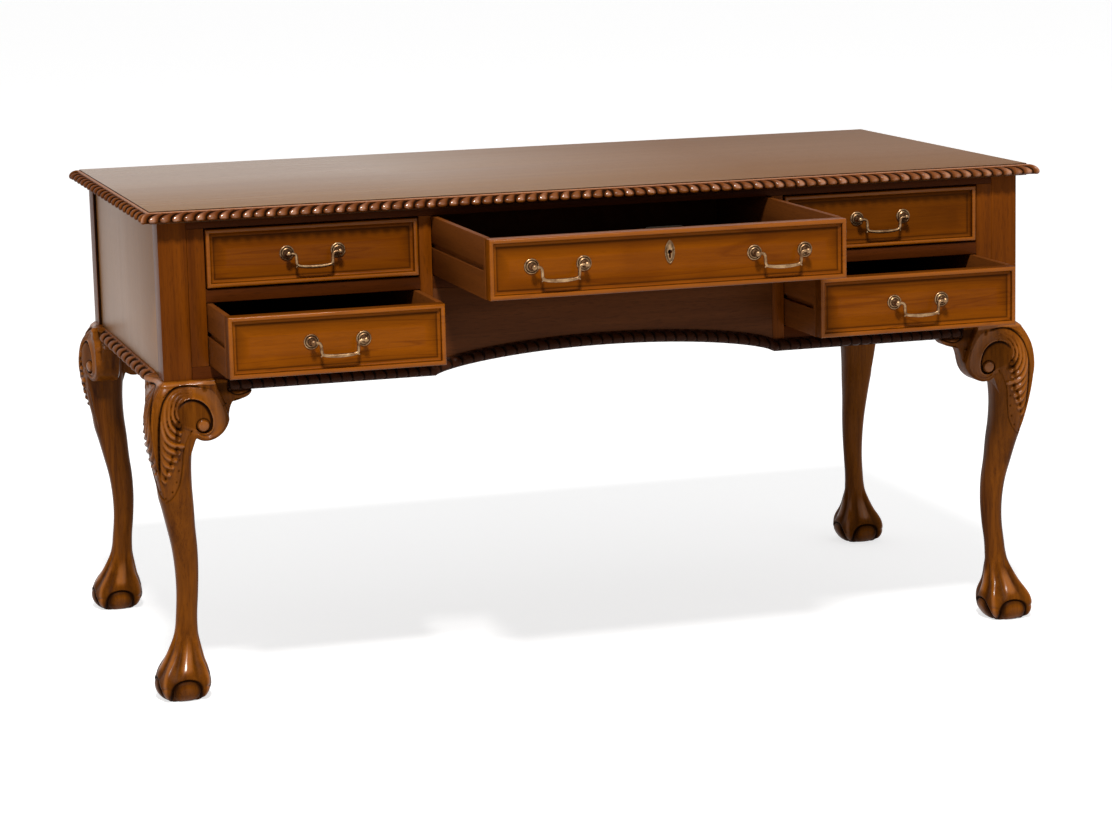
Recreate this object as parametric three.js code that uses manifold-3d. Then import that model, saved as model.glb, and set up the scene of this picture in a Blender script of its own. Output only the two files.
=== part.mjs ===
// Writing desk in polished mahogany: five drawers round a kneehole, four cabriole legs on ball feet,
// a lobed edge under the top and under the frieze, and brass bail handles.
// Millimetres, +X to the right along the front, +Y to the back, +Z up, floor at zero.
import * as THREE from 'three';
import { mergeVertices } from 'three/addons/utils/BufferGeometryUtils.js';
import Module from 'manifold-3d';

const wasm = await Module();
wasm.setup();

// Overall sizes
const deskHeight = 780;
const bodyWidth = 1446;
const bodyDepth = 700;

// Joints between fixed pieces, and the overrun of a cutting tool
const glueLine = 0.3;
const overrun = 4;

// Top
const topThickness = 20;
const topOverhang = 13;
const topEdgeWidth = 16;
const topEdgeHeight = 18;

// Front frame
const postWidth = 45;
const fillerWidth = 27;
const stileWidth = 20;
const kneeholeWidth = 574;
const frameThickness = 22;
const topRailHeight = 12;
const topRailDepth = 60;
const upperOpeningHeight = 96.5;
const midRailHeight = 20;
const lowerOpeningHeight = 100;
const bottomRailFace = 19.5;

// Frieze moulding and the arch over the kneehole
const friezeMouldingHeight = 20;
const friezeMouldingDepth = 12;
const archRise = 31;
const archPowerShare = 0.7;
const archSteps = 22;

// Panels and partitions
const panelThickness = 15;
const panelSetback = 5;

// Legs
const legSweep = 14;
const legShift = 4;
const legSides = 20;

// Knee brackets
const bracketReach = 94;
const bracketDrop = 104;
const bracketProud = 16;
const bracketInside = 26;
const bracketNeckShare = 0.575;
const bracketNeckGap = 0.8;
const mouldingEndGap = 1.95;

// Drawers
const frontReveal = 1.5;
const frontThickness = 20;
const beadWidth = 5.5;
const beadProud = 3;
const boxBackSpace = 100;
const boxSideThickness = 9;
const boxBackThickness = 12;
const boxBottomThickness = 6;
const boxBottomRaise = 7;
const grooveHeight = 8.4;
const grooveDepth = 5;
const grooveStop = 8;
const runnerClearance = 0.4;
const runnerFrontGap = 1;
const runnerBackGap = 9;
const runnerBlockHeight = 22;
const centerDrawerOpen = 330;
const lowerDrawerOpen = 157;

// Handles
const handleSpan = 82;
const handleRaise = 2;
const centerHandleInset = 110;
const roseRadius = 11;
const roseThickness = 3;
const neckRadius = 3;
const ballRadius = 4.8;
const pivotProud = 13;
const shankRadius = 2.2;
const shankClearance = 0.4;
const nutRadius = 5;
const nutThickness = 3;
const turnedSides = 12;
const bailRadius = 1.7;
const bailPinClearance = 0.4;
const bailPinDepth = 3;
const bailNeck = 12;
const bailDrop = 22;
const bailCorner = 5;
const bailSides = 6;
const bailSteps = 30;

// Lock
const escutcheonWidth = 16;
const escutcheonHeight = 40;
const escutcheonThickness = 1.6;
const escutcheonRaise = 11;
const keyholeRadius = 2.6;
const keyholeSlotWidth = 2.4;
const keyholeSlotHeight = 8;
const lockCaseWidth = 56;
const lockCaseHeight = 36;
const lockCaseDepth = 11;
const boltWidth = 16;
const boltThickness = 4;
const boltHeight = 24;
const boltTravel = 7;
const boltClearance = 0.4;
const mortiseMargin = 2;

// Places worked out from the sizes above
const halfWidth = bodyWidth / 2;
const topUnderside = deskHeight - topThickness;
const topRailBottom = topUnderside - topRailHeight;
const upperOpeningBottom = topRailBottom - upperOpeningHeight;
const lowerOpeningTop = upperOpeningBottom - midRailHeight;
const lowerOpeningBottom = lowerOpeningTop - lowerOpeningHeight;
const legHeight = lowerOpeningBottom - bottomRailFace;
const friezeBottom = legHeight - friezeMouldingHeight;
const postInnerX = halfWidth - postWidth;
const openingOuterX = postInnerX - fillerWidth;
const kneeholeX = kneeholeWidth / 2;
const openingInnerX = kneeholeX + stileWidth;
const mouldingStart = bracketNeckShare * bracketReach + mouldingEndGap;
const mouldingEndX = postInnerX - mouldingStart;
const panelOuterX = halfWidth - panelSetback;
const panelInnerX = panelOuterX - panelThickness;
const rearPostY = bodyDepth - postWidth;
const backPanelBackY = bodyDepth - panelSetback;
const backPanelFrontY = backPanelBackY - panelThickness;
const boxDepth = backPanelFrontY - boxBackSpace - frontThickness;
const runnerStart = postWidth + runnerFrontGap;
const runnerEnd = rearPostY - runnerBackGap;
const mortiseDepth = boltTravel + mortiseMargin;
const shankHoleRadius = shankRadius + shankClearance;
const bailPinHoleRadius = bailRadius + bailPinClearance;

// Finishes
const mahogany = { color: 0x8a4216, roughness: 0.32, metalness: 0 };
const paleMahogany = { color: 0x93602f, roughness: 0.42, metalness: 0 };
const brass = { color: 0x8c6f45, roughness: 0.38, metalness: 0.9 };
const steel = { color: 0x77736c, roughness: 0.45, metalness: 0.9 };

const desk = new THREE.Group();

function addPiece(group, name, geometry, finish) {
  const mesh = new THREE.Mesh(geometry, new THREE.MeshStandardMaterial(finish));
  mesh.name = name;
  group.add(mesh);
  return mesh;
}

// A box between two corners
function slab(x0, x1, y0, y1, z0, z1) {
  const geometry = new THREE.BoxGeometry(x1 - x0, y1 - y0, z1 - z0);
  geometry.translate((x0 + x1) / 2, (y0 + y1) / 2, (z0 + z1) / 2);
  return geometry;
}

// The same box, with its X range mirrored to the given side of the desk
function sideSlab(side, inner, outer, y0, y1, z0, z1) {
  const ends = [side * inner, side * outer];
  return slab(Math.min(...ends), Math.max(...ends), y0, y1, z0, z1);
}

function signedVolume(geometry) {
  const place = geometry.getAttribute('position');
  const index = geometry.getIndex();
  const a = new THREE.Vector3();
  const b = new THREE.Vector3();
  const c = new THREE.Vector3();
  let total = 0;
  for (let i = 0; i < index.count; i += 3) {
    a.fromBufferAttribute(place, index.getX(i));
    b.fromBufferAttribute(place, index.getX(i + 1));
    c.fromBufferAttribute(place, index.getX(i + 2));
    total += a.dot(b.cross(c)) / 6;
  }
  return total;
}

// Faces turned outwards, whatever mirror the points went through
function facingOut(geometry) {
  if (signedVolume(geometry) < 0) {
    const index = geometry.getIndex();
    for (let i = 0; i < index.count; i += 3) {
      const first = index.getX(i);
      index.setX(i, index.getX(i + 1));
      index.setX(i + 1, first);
    }
  }
  return geometry;
}

function welded(geometry) {
  const bare = geometry.clone();
  bare.deleteAttribute('normal');
  bare.deleteAttribute('uv');
  return mergeVertices(bare);
}

function fromTriangles(points, triangles) {
  const geometry = new THREE.BufferGeometry();
  geometry.setAttribute('position', new THREE.Float32BufferAttribute(points.flat(), 3));
  geometry.setIndex(triangles.flat());
  return facingOut(geometry);
}

// A body through closed rings of equal counts, with a fan over each end ring
function loft(rings) {
  const sides = rings[0].length;
  const points = rings.flat();
  const triangles = [];
  for (let r = 0; r + 1 < rings.length; r += 1) {
    for (let s = 0; s < sides; s += 1) {
      const a = r * sides + s;
      const b = r * sides + (s + 1) % sides;
      triangles.push([a, b, b + sides], [a, b + sides, a + sides]);
    }
  }
  const ends = [[0, true], [rings.length - 1, false]];
  for (const [r, first] of ends) {
    const ring = rings[r];
    const middle = [0, 1, 2].map((k) => ring.reduce((sum, p) => sum + p[k], 0) / sides);
    const centre = points.push(middle) - 1;
    for (let s = 0; s < sides; s += 1) {
      const a = r * sides + s;
      const b = r * sides + (s + 1) % sides;
      triangles.push(first ? [b, a, centre] : [a, b, centre]);
    }
  }
  return fromTriangles(points, triangles);
}

// An outline drawn in two of the desk's directions and pushed along the third
function pushed(outline, depth, across, up, along, origin) {
  const shape = new THREE.Shape(outline.map(([u, v]) => new THREE.Vector2(u, v)));
  const geometry = new THREE.ExtrudeGeometry(shape, { depth, bevelEnabled: false });
  const basis = new THREE.Matrix4().makeBasis(across, up, along);
  basis.setPosition(origin);
  geometry.applyMatrix4(basis);
  return facingOut(welded(geometry));
}

function solid(geometry) {
  const closed = facingOut(welded(geometry));
  const vertProperties = new Float32Array(closed.getAttribute('position').array);
  const triVerts = new Uint32Array(closed.getIndex().array);
  return new wasm.Manifold(new wasm.Mesh({ numProp: 3, vertProperties, triVerts }));
}

function geometryOf(manifold) {
  const mesh = manifold.getMesh();
  const geometry = new THREE.BufferGeometry();
  geometry.setAttribute('position', new THREE.BufferAttribute(new Float32Array(mesh.vertProperties), 3));
  geometry.setIndex(new THREE.BufferAttribute(new Uint32Array(mesh.triVerts), 1));
  return geometry;
}

function cut(body, ...tools) {
  return geometryOf(tools.reduce((left, tool) => left.subtract(solid(tool)), solid(body)));
}

function joined(body, ...others) {
  return geometryOf(others.reduce((whole, other) => whole.add(solid(other)), solid(body)));
}

// Top board and the lobed edge round it. The edge's section runs outwards and down from the board.
const edgeSectionShares = [
  [0, 1], [0.22, 0.98], [0.55, 0.86], [0.84, 0.62], [1, 0.3], [0.96, 0.12], [0.6, 0], [0, 0],
];

function topBoard() {
  const x = halfWidth + topOverhang;
  return slab(-x, x, -topOverhang, bodyDepth + topOverhang, topUnderside, deskHeight);
}

function topEdgeMoulding() {
  const corners = [[1, -1], [1, 1], [-1, 1], [-1, -1]];
  const bottom = deskHeight - topEdgeHeight;
  const section = edgeSectionShares.map(([outShare, upShare]) => [
    topOverhang + glueLine + outShare * topEdgeWidth,
    bottom + upShare * (topEdgeHeight - glueLine),
  ]);
  const points = corners.flatMap(([sx, sy]) => section.map(([out, z]) => [
    sx * (halfWidth + out),
    bodyDepth / 2 + sy * (bodyDepth / 2 + out),
    z,
  ]));
  const count = section.length;
  const triangles = [];
  corners.forEach((_, corner) => {
    const next = (corner + 1) % corners.length;
    for (let s = 0; s < count; s += 1) {
      const t = (s + 1) % count;
      const a = corner * count + s;
      const b = corner * count + t;
      const c = next * count + t;
      const d = next * count + s;
      triangles.push([a, b, c], [a, c, d]);
    }
  });
  return fromTriangles(points, triangles);
}

// Cabriole leg: the square post above, the knee, the ankle and the ball foot.
// Each row: height as a share of the leg, reach as a share of the sweep,
// half width as a share of the post, and how square the section is.
const legShares = [
  [0, 0.5, 0.78, 2.6],
  [0.012, 0.52, 0.91, 2.7],
  [0.04, 0.48, 0.99, 2.8],
  [0.078, 0.4, 0.9, 2.7],
  [0.117, 0.2, 0.71, 2.5],
  [0.156, -0.05, 0.54, 2.3],
  [0.195, -0.25, 0.43, 2.1],
  [0.25, -0.42, 0.38, 2],
  [0.322, -0.66, 0.385, 2],
  [0.39, -0.72, 0.41, 2.1],
  [0.469, -0.55, 0.45, 2.3],
  [0.537, -0.18, 0.5, 2.4],
  [0.605, 0.18, 0.57, 2.5],
  [0.674, 0.62, 0.65, 2.6],
  [0.742, 0.9, 0.73, 2.6],
  [0.81, 1, 0.82, 2.7],
  [0.879, 0.94, 0.88, 2.8],
  [0.93, 0.74, 0.85, 3],
  [0.965, 0.45, 0.75, 4],
  [0.99, 0.15, 0.6, 9],
];
const kneeTopShare = 0.08;
const postSquareness = 40;

function sectionRing(centreX, centreY, z, halfSide, squareness) {
  const ring = [];
  for (let s = 0; s < legSides; s += 1) {
    const angle = (s / legSides) * 2 * Math.PI;
    const c = Math.cos(angle);
    const w = Math.sin(angle);
    const size = (Math.abs(c) ** squareness + Math.abs(w) ** squareness) ** (-1 / squareness);
    ring.push([centreX + halfSide * size * c, centreY + halfSide * size * w, z]);
  }
  return ring;
}

// side is -1 at the left and 1 at the right; end is -1 at the front and 1 at the back
function legBody(side, end, swell = 0) {
  const postX = halfWidth - postWidth / 2;
  const postY = bodyDepth / 2 - postWidth / 2;
  const rings = legShares.map(([heightShare, reachShare, widthShare, squareness]) => {
    const axisShare = Math.min(1, (1 - heightShare) / kneeTopShare);
    const reach = reachShare * legSweep;
    const shift = axisShare * legShift;
    return sectionRing(
      side * (postX + shift + reach),
      bodyDepth / 2 + end * (postY - shift + reach),
      heightShare * legHeight,
      widthShare * postWidth + swell,
      squareness,
    );
  });
  for (const z of [legHeight, topUnderside - glueLine]) {
    const x = side * postX;
    const y = bodyDepth / 2 + end * postY;
    const half = postWidth / 2 + swell;
    rings.push(postRing(x, y, z, half));
  }
  return loft(rings);
}

// The square post's ring has its corners exactly where the section's diagonals run
function postRing(x, y, z, half) {
  return sectionRing(0, 0, z, half, postSquareness).map(([u, v]) => {
    const stretch = half / Math.max(Math.abs(u), Math.abs(v));
    return [x + u * stretch, y + v * stretch, z];
  });
}

// Above the frieze's lower edge the knee is pared back level with the post's two inner faces
function leg(side, end) {
  const reach = 2 * postWidth;
  const innerY = bodyDepth / 2 + end * (bodyDepth / 2 - postWidth);
  const inward = innerY - end * reach;
  const levels = [friezeBottom - glueLine, legHeight + overrun];
  const besideX = sideSlab(side, postInnerX - reach, postInnerX, -reach, bodyDepth + reach, ...levels);
  const besideY = sideSlab(
    side,
    postInnerX - reach,
    halfWidth + reach,
    Math.min(innerY, inward),
    Math.max(innerY, inward),
    ...levels,
  );
  return cut(legBody(side, end), besideX, besideY);
}

// Knee bracket: a scrolled ear beside the leg, ending in a small leaf under the moulding.
// Across is a share of the reach from the post. Down is a share of the neck, which ends just under
// the frieze moulding, and below the neck a share of what is left of the drop.
const bracketNeckShares = [
  [-0.2, 0.1], [0.36, 0.15], [0.5, 0.5], [bracketNeckShare, 1], [1, 1],
];
const bracketScrollShares = [
  [1, 0.0625], [0.9, 0.1375], [0.73, 0.175], [0.64, 0.2625], [0.595, 0.3875], [0.57, 0.525],
  [0.52, 0.675], [0.43, 0.8375], [0.3, 0.95], [0.13, 1], [-0.2, 1],
];

function bracketOutline() {
  const neckZ = friezeBottom - bracketNeckGap;
  const footZ = legHeight - bracketDrop;
  const neck = bracketNeckShares.map(([acrossShare, downShare]) => [
    acrossShare * bracketReach,
    legHeight - downShare * (legHeight - neckZ),
  ]);
  const scroll = bracketScrollShares.map(([acrossShare, downShare]) => [
    acrossShare * bracketReach,
    neckZ - downShare * (neckZ - footZ),
  ]);
  return [...neck, ...scroll];
}

const upward = new THREE.Vector3(0, 0, 1);

// A bracket that looks to the front or the back, cut clear of the frame above it.
// A front leg's brackets are cut clear of the leg too; a rear leg's are one piece with it.
function facingBracket(side, end) {
  const faceY = bodyDepth / 2 + end * bodyDepth / 2;
  const origin = new THREE.Vector3(side * postInnerX, faceY - end * bracketInside, 0);
  const across = new THREE.Vector3(-side, 0, 0);
  const outward = new THREE.Vector3(0, end, 0);
  const body = pushed(bracketOutline(), bracketInside + bracketProud, across, upward, outward, origin);
  const setback = end > 0 ? panelSetback : 0;
  const frameFace = faceY + end * (glueLine - setback);
  const inner = faceY - end * (bracketInside + overrun);
  const frame = sideSlab(
    side,
    mouldingEndX - bracketReach,
    halfWidth + overrun,
    Math.min(frameFace, inner),
    Math.max(frameFace, inner),
    friezeBottom - glueLine,
    legHeight + overrun,
  );
  return end > 0 ? cut(body, frame) : cut(body, frame, legBody(side, end, glueLine));
}

// A bracket that looks to the side
function sideBracket(side, end) {
  const postInnerY = bodyDepth / 2 + end * (bodyDepth / 2 - postWidth);
  const origin = new THREE.Vector3(side * (halfWidth - bracketInside), postInnerY, 0);
  const across = new THREE.Vector3(0, -end, 0);
  const outward = new THREE.Vector3(side, 0, 0);
  const body = pushed(bracketOutline(), bracketInside + bracketProud, across, upward, outward, origin);
  const frame = sideSlab(
    side,
    halfWidth - bracketInside - overrun,
    panelOuterX + glueLine,
    0,
    bodyDepth,
    friezeBottom - glueLine,
    legHeight + overrun,
  );
  return end > 0 ? cut(body, frame) : cut(body, frame, legBody(side, end, glueLine));
}

// Frieze moulding: a half-round lobe section, swept along the lower edge of the frame
const friezeSectionShares = [
  [0, 0], [0.5, 0], [0.9, 0.16], [1, 0.4], [0.9, 0.66], [0.6, 0.9], [0.3, 1], [0, 1],
];

// Height of the frame's lower edge at a place across the kneehole
function archLift(x) {
  const share = Math.min(1, Math.abs(x) / kneeholeX);
  return archRise * (1 - share ** 2) ** archPowerShare;
}

// Places across the kneehole, closer together near its ends where the arch is steep
function archPlaces() {
  const places = [];
  for (let i = 0; i <= archSteps; i += 1) {
    places.push(-kneeholeX * Math.cos((i / archSteps) * Math.PI));
  }
  return places;
}

function frontBottomMoulding() {
  const stations = [-mouldingEndX, ...archPlaces(), mouldingEndX];
  const rings = stations.map((x) => friezeSectionShares.map(([outShare, upShare]) => [
    x,
    -glueLine - outShare * friezeMouldingDepth,
    friezeBottom + archLift(x) + upShare * (friezeMouldingHeight - glueLine),
  ]));
  return loft(rings);
}

// The moulding under an end panel lies against the panel's face, which is set back from the posts
function sideBottomMoulding(side) {
  const start = postWidth + mouldingStart;
  const depth = friezeMouldingDepth + panelSetback;
  const rings = [start, bodyDepth - start].map((y) => friezeSectionShares.map(([outShare, upShare]) => [
    side * (panelOuterX + glueLine + outShare * (depth - glueLine)),
    y,
    friezeBottom + upShare * (friezeMouldingHeight - glueLine),
  ]));
  return loft(rings);
}

function archedApron() {
  const outline = archPlaces().map((x) => [x, friezeBottom + archLift(x)]);
  const edge = kneeholeX - glueLine;
  outline[0][0] = -edge;
  outline[outline.length - 1][0] = edge;
  const top = lowerOpeningTop - glueLine;
  outline.push([edge, top], [-edge, top]);
  const origin = new THREE.Vector3(0, frameThickness, 0);
  const across = new THREE.Vector3(1, 0, 0);
  return pushed(outline, frameThickness, across, upward, new THREE.Vector3(0, -1, 0), origin);
}

// Carcase panels
function runnerHeights() {
  return {
    lower: (lowerOpeningBottom + lowerOpeningTop) / 2,
    upper: (upperOpeningBottom + topRailBottom) / 2,
  };
}

// The end panel carries two runner blocks, each with a tongue for the groove in a drawer's side
function endPanel(side) {
  const panel = sideSlab(
    side,
    panelInnerX,
    panelOuterX,
    postWidth + glueLine,
    rearPostY - glueLine,
    friezeBottom,
    topUnderside - glueLine,
  );
  const { lower, upper } = runnerHeights();
  const runners = [lower, upper].flatMap((z) => [
    sideSlab(
      side,
      openingOuterX,
      panelInnerX + overrun,
      runnerStart,
      runnerEnd,
      z - runnerBlockHeight / 2,
      z + runnerBlockHeight / 2,
    ),
    runnerTongue(side, openingOuterX + overrun, openingOuterX - frontReveal, -1, z),
  ]);
  return joined(panel, ...runners);
}

// A tongue that reaches from a carcase face into the groove of a drawer side.
// way is the direction across the desk, seen from the middle, in which the tongue points.
function runnerTongue(side, root, drawerFace, way, z) {
  const tip = drawerFace + way * (grooveDepth - runnerClearance);
  const half = grooveHeight / 2 - runnerClearance;
  return sideSlab(side, tip, root, runnerStart, runnerEnd, z - half, z + half);
}

function partition(side) {
  const panel = sideSlab(
    side,
    kneeholeX,
    openingInnerX,
    frameThickness + glueLine,
    backPanelFrontY - glueLine,
    friezeBottom,
    topRailBottom - glueLine,
  );
  const { lower, upper } = runnerHeights();
  const middle = (kneeholeX + openingInnerX) / 2;
  return joined(
    panel,
    runnerTongue(side, middle, openingInnerX + frontReveal, 1, lower),
    runnerTongue(side, middle, openingInnerX + frontReveal, 1, upper),
    runnerTongue(side, middle, kneeholeX - frontReveal, -1, upper),
  );
}

// The back panel with its own length of frieze moulding
function backPanel() {
  const x = postInnerX - glueLine;
  const panel = slab(-x, x, backPanelFrontY, backPanelBackY, friezeBottom, topUnderside - glueLine);
  const moulding = loft([-mouldingEndX, mouldingEndX].map((place) => friezeSectionShares.map(
    ([outShare, upShare]) => [
      place,
      backPanelBackY - overrun + outShare * (friezeMouldingDepth + panelSetback + overrun),
      friezeBottom + upShare * friezeMouldingHeight,
    ],
  )));
  return joined(panel, moulding);
}

// The top rail has a mortise on its underside for the lock's bolt
const boltFrontY = frontThickness + (lockCaseDepth - boltThickness) / 2;

function topRail() {
  const x = postInnerX - glueLine;
  const rail = slab(-x, x, 0, topRailDepth, topRailBottom, topUnderside - glueLine);
  const mortise = slab(
    -boltWidth / 2 - mortiseMargin,
    boltWidth / 2 + mortiseMargin,
    boltFrontY - mortiseMargin,
    boltFrontY + boltThickness + mortiseMargin,
    topRailBottom - overrun,
    topRailBottom + mortiseDepth,
  );
  return cut(rail, mortise);
}

function addCarcase() {
  addPiece(desk, 'top_board', topBoard(), mahogany);
  addPiece(desk, 'top_edge_moulding', topEdgeMoulding(), mahogany);
  addPiece(desk, 'top_rail', topRail(), mahogany);
  addPiece(desk, 'arched_apron', archedApron(), mahogany);
  addPiece(desk, 'front_bottom_moulding', frontBottomMoulding(), mahogany);
  addPiece(desk, 'back_panel', backPanel(), mahogany);
  const middle = slab(
    -kneeholeX + glueLine,
    kneeholeX - glueLine,
    0,
    frameThickness,
    lowerOpeningTop,
    upperOpeningBottom,
  );
  addPiece(desk, 'mid_rail_center', middle, mahogany);
  for (const [hand, side] of [['left', -1], ['right', 1]]) {
    const front = [0, frameThickness];
    const bottomRail = sideSlab(
      side,
      openingInnerX + glueLine,
      postInnerX - glueLine,
      ...front,
      friezeBottom,
      lowerOpeningBottom,
    );
    const midRail = sideSlab(
      side,
      openingInnerX + glueLine,
      openingOuterX - glueLine,
      ...front,
      lowerOpeningTop,
      upperOpeningBottom,
    );
    const filler = sideSlab(
      side,
      openingOuterX,
      postInnerX - glueLine,
      ...front,
      lowerOpeningBottom + glueLine,
      topRailBottom - glueLine,
    );
    const stile = sideSlab(
      side,
      kneeholeX,
      openingInnerX,
      ...front,
      friezeBottom,
      topRailBottom - glueLine,
    );
    addPiece(desk, `leg_front_${hand}`, leg(side, -1), mahogany);
    const rearLeg = joined(leg(side, 1), facingBracket(side, 1), sideBracket(side, 1));
    addPiece(desk, `leg_rear_${hand}`, rearLeg, mahogany);
    addPiece(desk, `knee_bracket_front_${hand}`, facingBracket(side, -1), mahogany);
    addPiece(desk, `knee_bracket_side_${hand}`, sideBracket(side, -1), mahogany);
    addPiece(desk, `end_panel_${hand}`, endPanel(side), mahogany);
    addPiece(desk, `side_bottom_moulding_${hand}`, sideBottomMoulding(side), mahogany);
    addPiece(desk, `partition_${hand}`, partition(side), paleMahogany);
    addPiece(desk, `bottom_rail_${hand}`, bottomRail, mahogany);
    addPiece(desk, `mid_rail_${hand}`, midRail, mahogany);
    addPiece(desk, `filler_stile_${hand}`, filler, mahogany);
    addPiece(desk, `kneehole_stile_${hand}`, stile, mahogany);
  }
}

// A round tool or shank lying front to back, between two places in Y
function rodAlongY(radius, x, y0, y1, z) {
  const rod = new THREE.CylinderGeometry(radius, radius, y1 - y0, turnedSides);
  rod.translate(x, (y0 + y1) / 2, z);
  return rod;
}

// The keyhole's two cutting tools: a round eye with a slot under it
function keyholeTools(y0, y1, z) {
  const slot = slab(-keyholeSlotWidth / 2, keyholeSlotWidth / 2, y0, y1, z - keyholeSlotHeight, z);
  return [rodAlongY(keyholeRadius, 0, y0, y1, z), slot];
}

// Drawer front with a raised bead round its edge, and a hole for each handle post.
// The field is level with the front frame and the bead stands proud of it.
function drawerFront(place) {
  const { x0, x1, z0, z1, handles, locked } = place;
  const board = slab(x0, x1, -beadProud, frontThickness, z0, z1);
  const field = slab(
    x0 + beadWidth,
    x1 - beadWidth,
    -beadProud - overrun,
    0,
    z0 + beadWidth,
    z1 - beadWidth,
  );
  const holeStart = -beadProud - overrun;
  const holeEnd = frontThickness + overrun;
  const holes = handles.flatMap((handle) => [-1, 1].map((way) => rodAlongY(
    shankHoleRadius,
    handle.x + way * handleSpan / 2,
    holeStart,
    holeEnd,
    handle.z,
  )));
  const keyhole = locked ? keyholeTools(holeStart, holeEnd, place.keyZ) : [];
  return cut(board, field, ...holes, ...keyhole);
}

// Drawer box behind the front: two grooved sides, a back and a bottom let in above their lower edge
function drawerBox(place) {
  const { x0, x1, z0, z1 } = place;
  const front = frontThickness + glueLine;
  const back = front + boxDepth;
  const body = slab(x0, x1, front, back, z0, z1);
  const inside = slab(
    x0 + boxSideThickness,
    x1 - boxSideThickness,
    front - overrun,
    back - boxBackThickness,
    z0 + boxBottomRaise + boxBottomThickness,
    z1 + overrun,
  );
  const under = slab(
    x0 + boxSideThickness,
    x1 - boxSideThickness,
    front - overrun,
    back + overrun,
    z0 - overrun,
    z0 + boxBottomRaise,
  );
  const middle = (z0 + z1) / 2;
  const groove = [middle - grooveHeight / 2, middle + grooveHeight / 2];
  const grooveStart = front + grooveStop;
  return cut(
    body,
    inside,
    under,
    slab(x0 - overrun, x0 + grooveDepth, grooveStart, back + overrun, ...groove),
    slab(x1 - grooveDepth, x1 + overrun, grooveStart, back + overrun, ...groove),
  );
}

// Handle post: a ringed rose, a neck and a ball in front, a shank through the drawer front
// and a nut behind it. The ball has a hole on its inner side for the end of the bail.
const ballRingShares = [[0.7, -0.72], [0.97, -0.26], [0.97, 0.26], [0.7, 0.72]];

function handlePost(x, z, inward) {
  const roseBack = glueLine;
  const nutFront = -frontThickness - glueLine;
  const outline = [
    [0, nutFront - nutThickness],
    [nutRadius, nutFront - nutThickness],
    [nutRadius, nutFront],
    [shankRadius, nutFront],
    [shankRadius, roseBack],
    [roseRadius, roseBack],
    [roseRadius, roseBack + roseThickness / 2],
    [roseRadius / 2, roseBack + roseThickness],
    [neckRadius, roseBack + roseThickness],
    ...ballRingShares.map(([r, t]) => [r * ballRadius, pivotProud + t * ballRadius]),
    [0, pivotProud + ballRadius],
  ].map(([r, t]) => new THREE.Vector2(r, t));
  const turned = new THREE.LatheGeometry(outline, turnedSides);
  turned.rotateX(Math.PI);
  turned.translate(x, 0, z);
  const pinHole = new THREE.CylinderGeometry(
    bailPinHoleRadius,
    bailPinHoleRadius,
    bailPinDepth + overrun,
    turnedSides,
  );
  pinHole.rotateZ(Math.PI / 2);
  const holeMiddle = ballRadius - bailPinDepth + (bailPinDepth + overrun) / 2;
  pinHole.translate(x + inward * holeMiddle, -pivotProud, z);
  return cut(turned, pinHole);
}

// Bail: two pins in the balls, two limbs and a bar across, bent from one rod
function bail(x, z) {
  const pinEnd = handleSpan / 2 - ballRadius + bailPinDepth - glueLine;
  const limb = handleSpan / 2 - bailNeck;
  const point = (across, down) => new THREE.Vector3(across, 0, -down);
  const path = new THREE.CurvePath();
  const limbTop = bailCorner;
  const limbFoot = bailDrop - bailCorner;
  path.add(new THREE.LineCurve3(point(-pinEnd, 0), point(-limb - bailCorner, 0)));
  path.add(new THREE.QuadraticBezierCurve3(
    point(-limb - bailCorner, 0),
    point(-limb, 0),
    point(-limb, limbTop),
  ));
  path.add(new THREE.LineCurve3(point(-limb, limbTop), point(-limb, limbFoot)));
  path.add(new THREE.QuadraticBezierCurve3(
    point(-limb, limbFoot),
    point(-limb, bailDrop),
    point(-limb + bailCorner, bailDrop),
  ));
  path.add(new THREE.LineCurve3(point(-limb + bailCorner, bailDrop), point(limb - bailCorner, bailDrop)));
  path.add(new THREE.QuadraticBezierCurve3(
    point(limb - bailCorner, bailDrop),
    point(limb, bailDrop),
    point(limb, limbFoot),
  ));
  path.add(new THREE.LineCurve3(point(limb, limbFoot), point(limb, limbTop)));
  path.add(new THREE.QuadraticBezierCurve3(
    point(limb, limbTop),
    point(limb, 0),
    point(limb + bailCorner, 0),
  ));
  path.add(new THREE.LineCurve3(point(limb + bailCorner, 0), point(pinEnd, 0)));
  const section = new THREE.Shape();
  for (let s = 0; s < bailSides; s += 1) {
    const angle = (s / bailSides) * 2 * Math.PI;
    const corner = [bailRadius * Math.cos(angle), bailRadius * Math.sin(angle)];
    if (s === 0) section.moveTo(...corner);
    else section.lineTo(...corner);
  }
  const sweep = { steps: bailSteps, extrudePath: path, bevelEnabled: false };
  const rod = new THREE.ExtrudeGeometry(section, sweep);
  rod.translate(x, -pivotProud, z);
  return facingOut(welded(rod));
}

// Escutcheon: a pointed oval plate with the keyhole through it
const escutcheonShares = [[0, 0.5], [0.32, 0.3], [0.5, 0.05], [0.5, -0.05], [0.32, -0.3], [0, -0.5]];

function escutcheon(keyZ) {
  const half = escutcheonShares.map(([u, v]) => [u * escutcheonWidth, v * escutcheonHeight]);
  const otherHalf = half.slice(1, -1).reverse().map(([u, v]) => [-u, v]);
  const outline = [...half, ...otherHalf].map(([u, v]) => [u, keyZ + v]);
  const origin = new THREE.Vector3(0, -glueLine, 0);
  const across = new THREE.Vector3(1, 0, 0);
  const outward = new THREE.Vector3(0, -1, 0);
  const plate = pushed(outline, escutcheonThickness, across, upward, outward, origin);
  return cut(plate, ...keyholeTools(-escutcheonThickness - overrun, overrun, keyZ));
}

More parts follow.
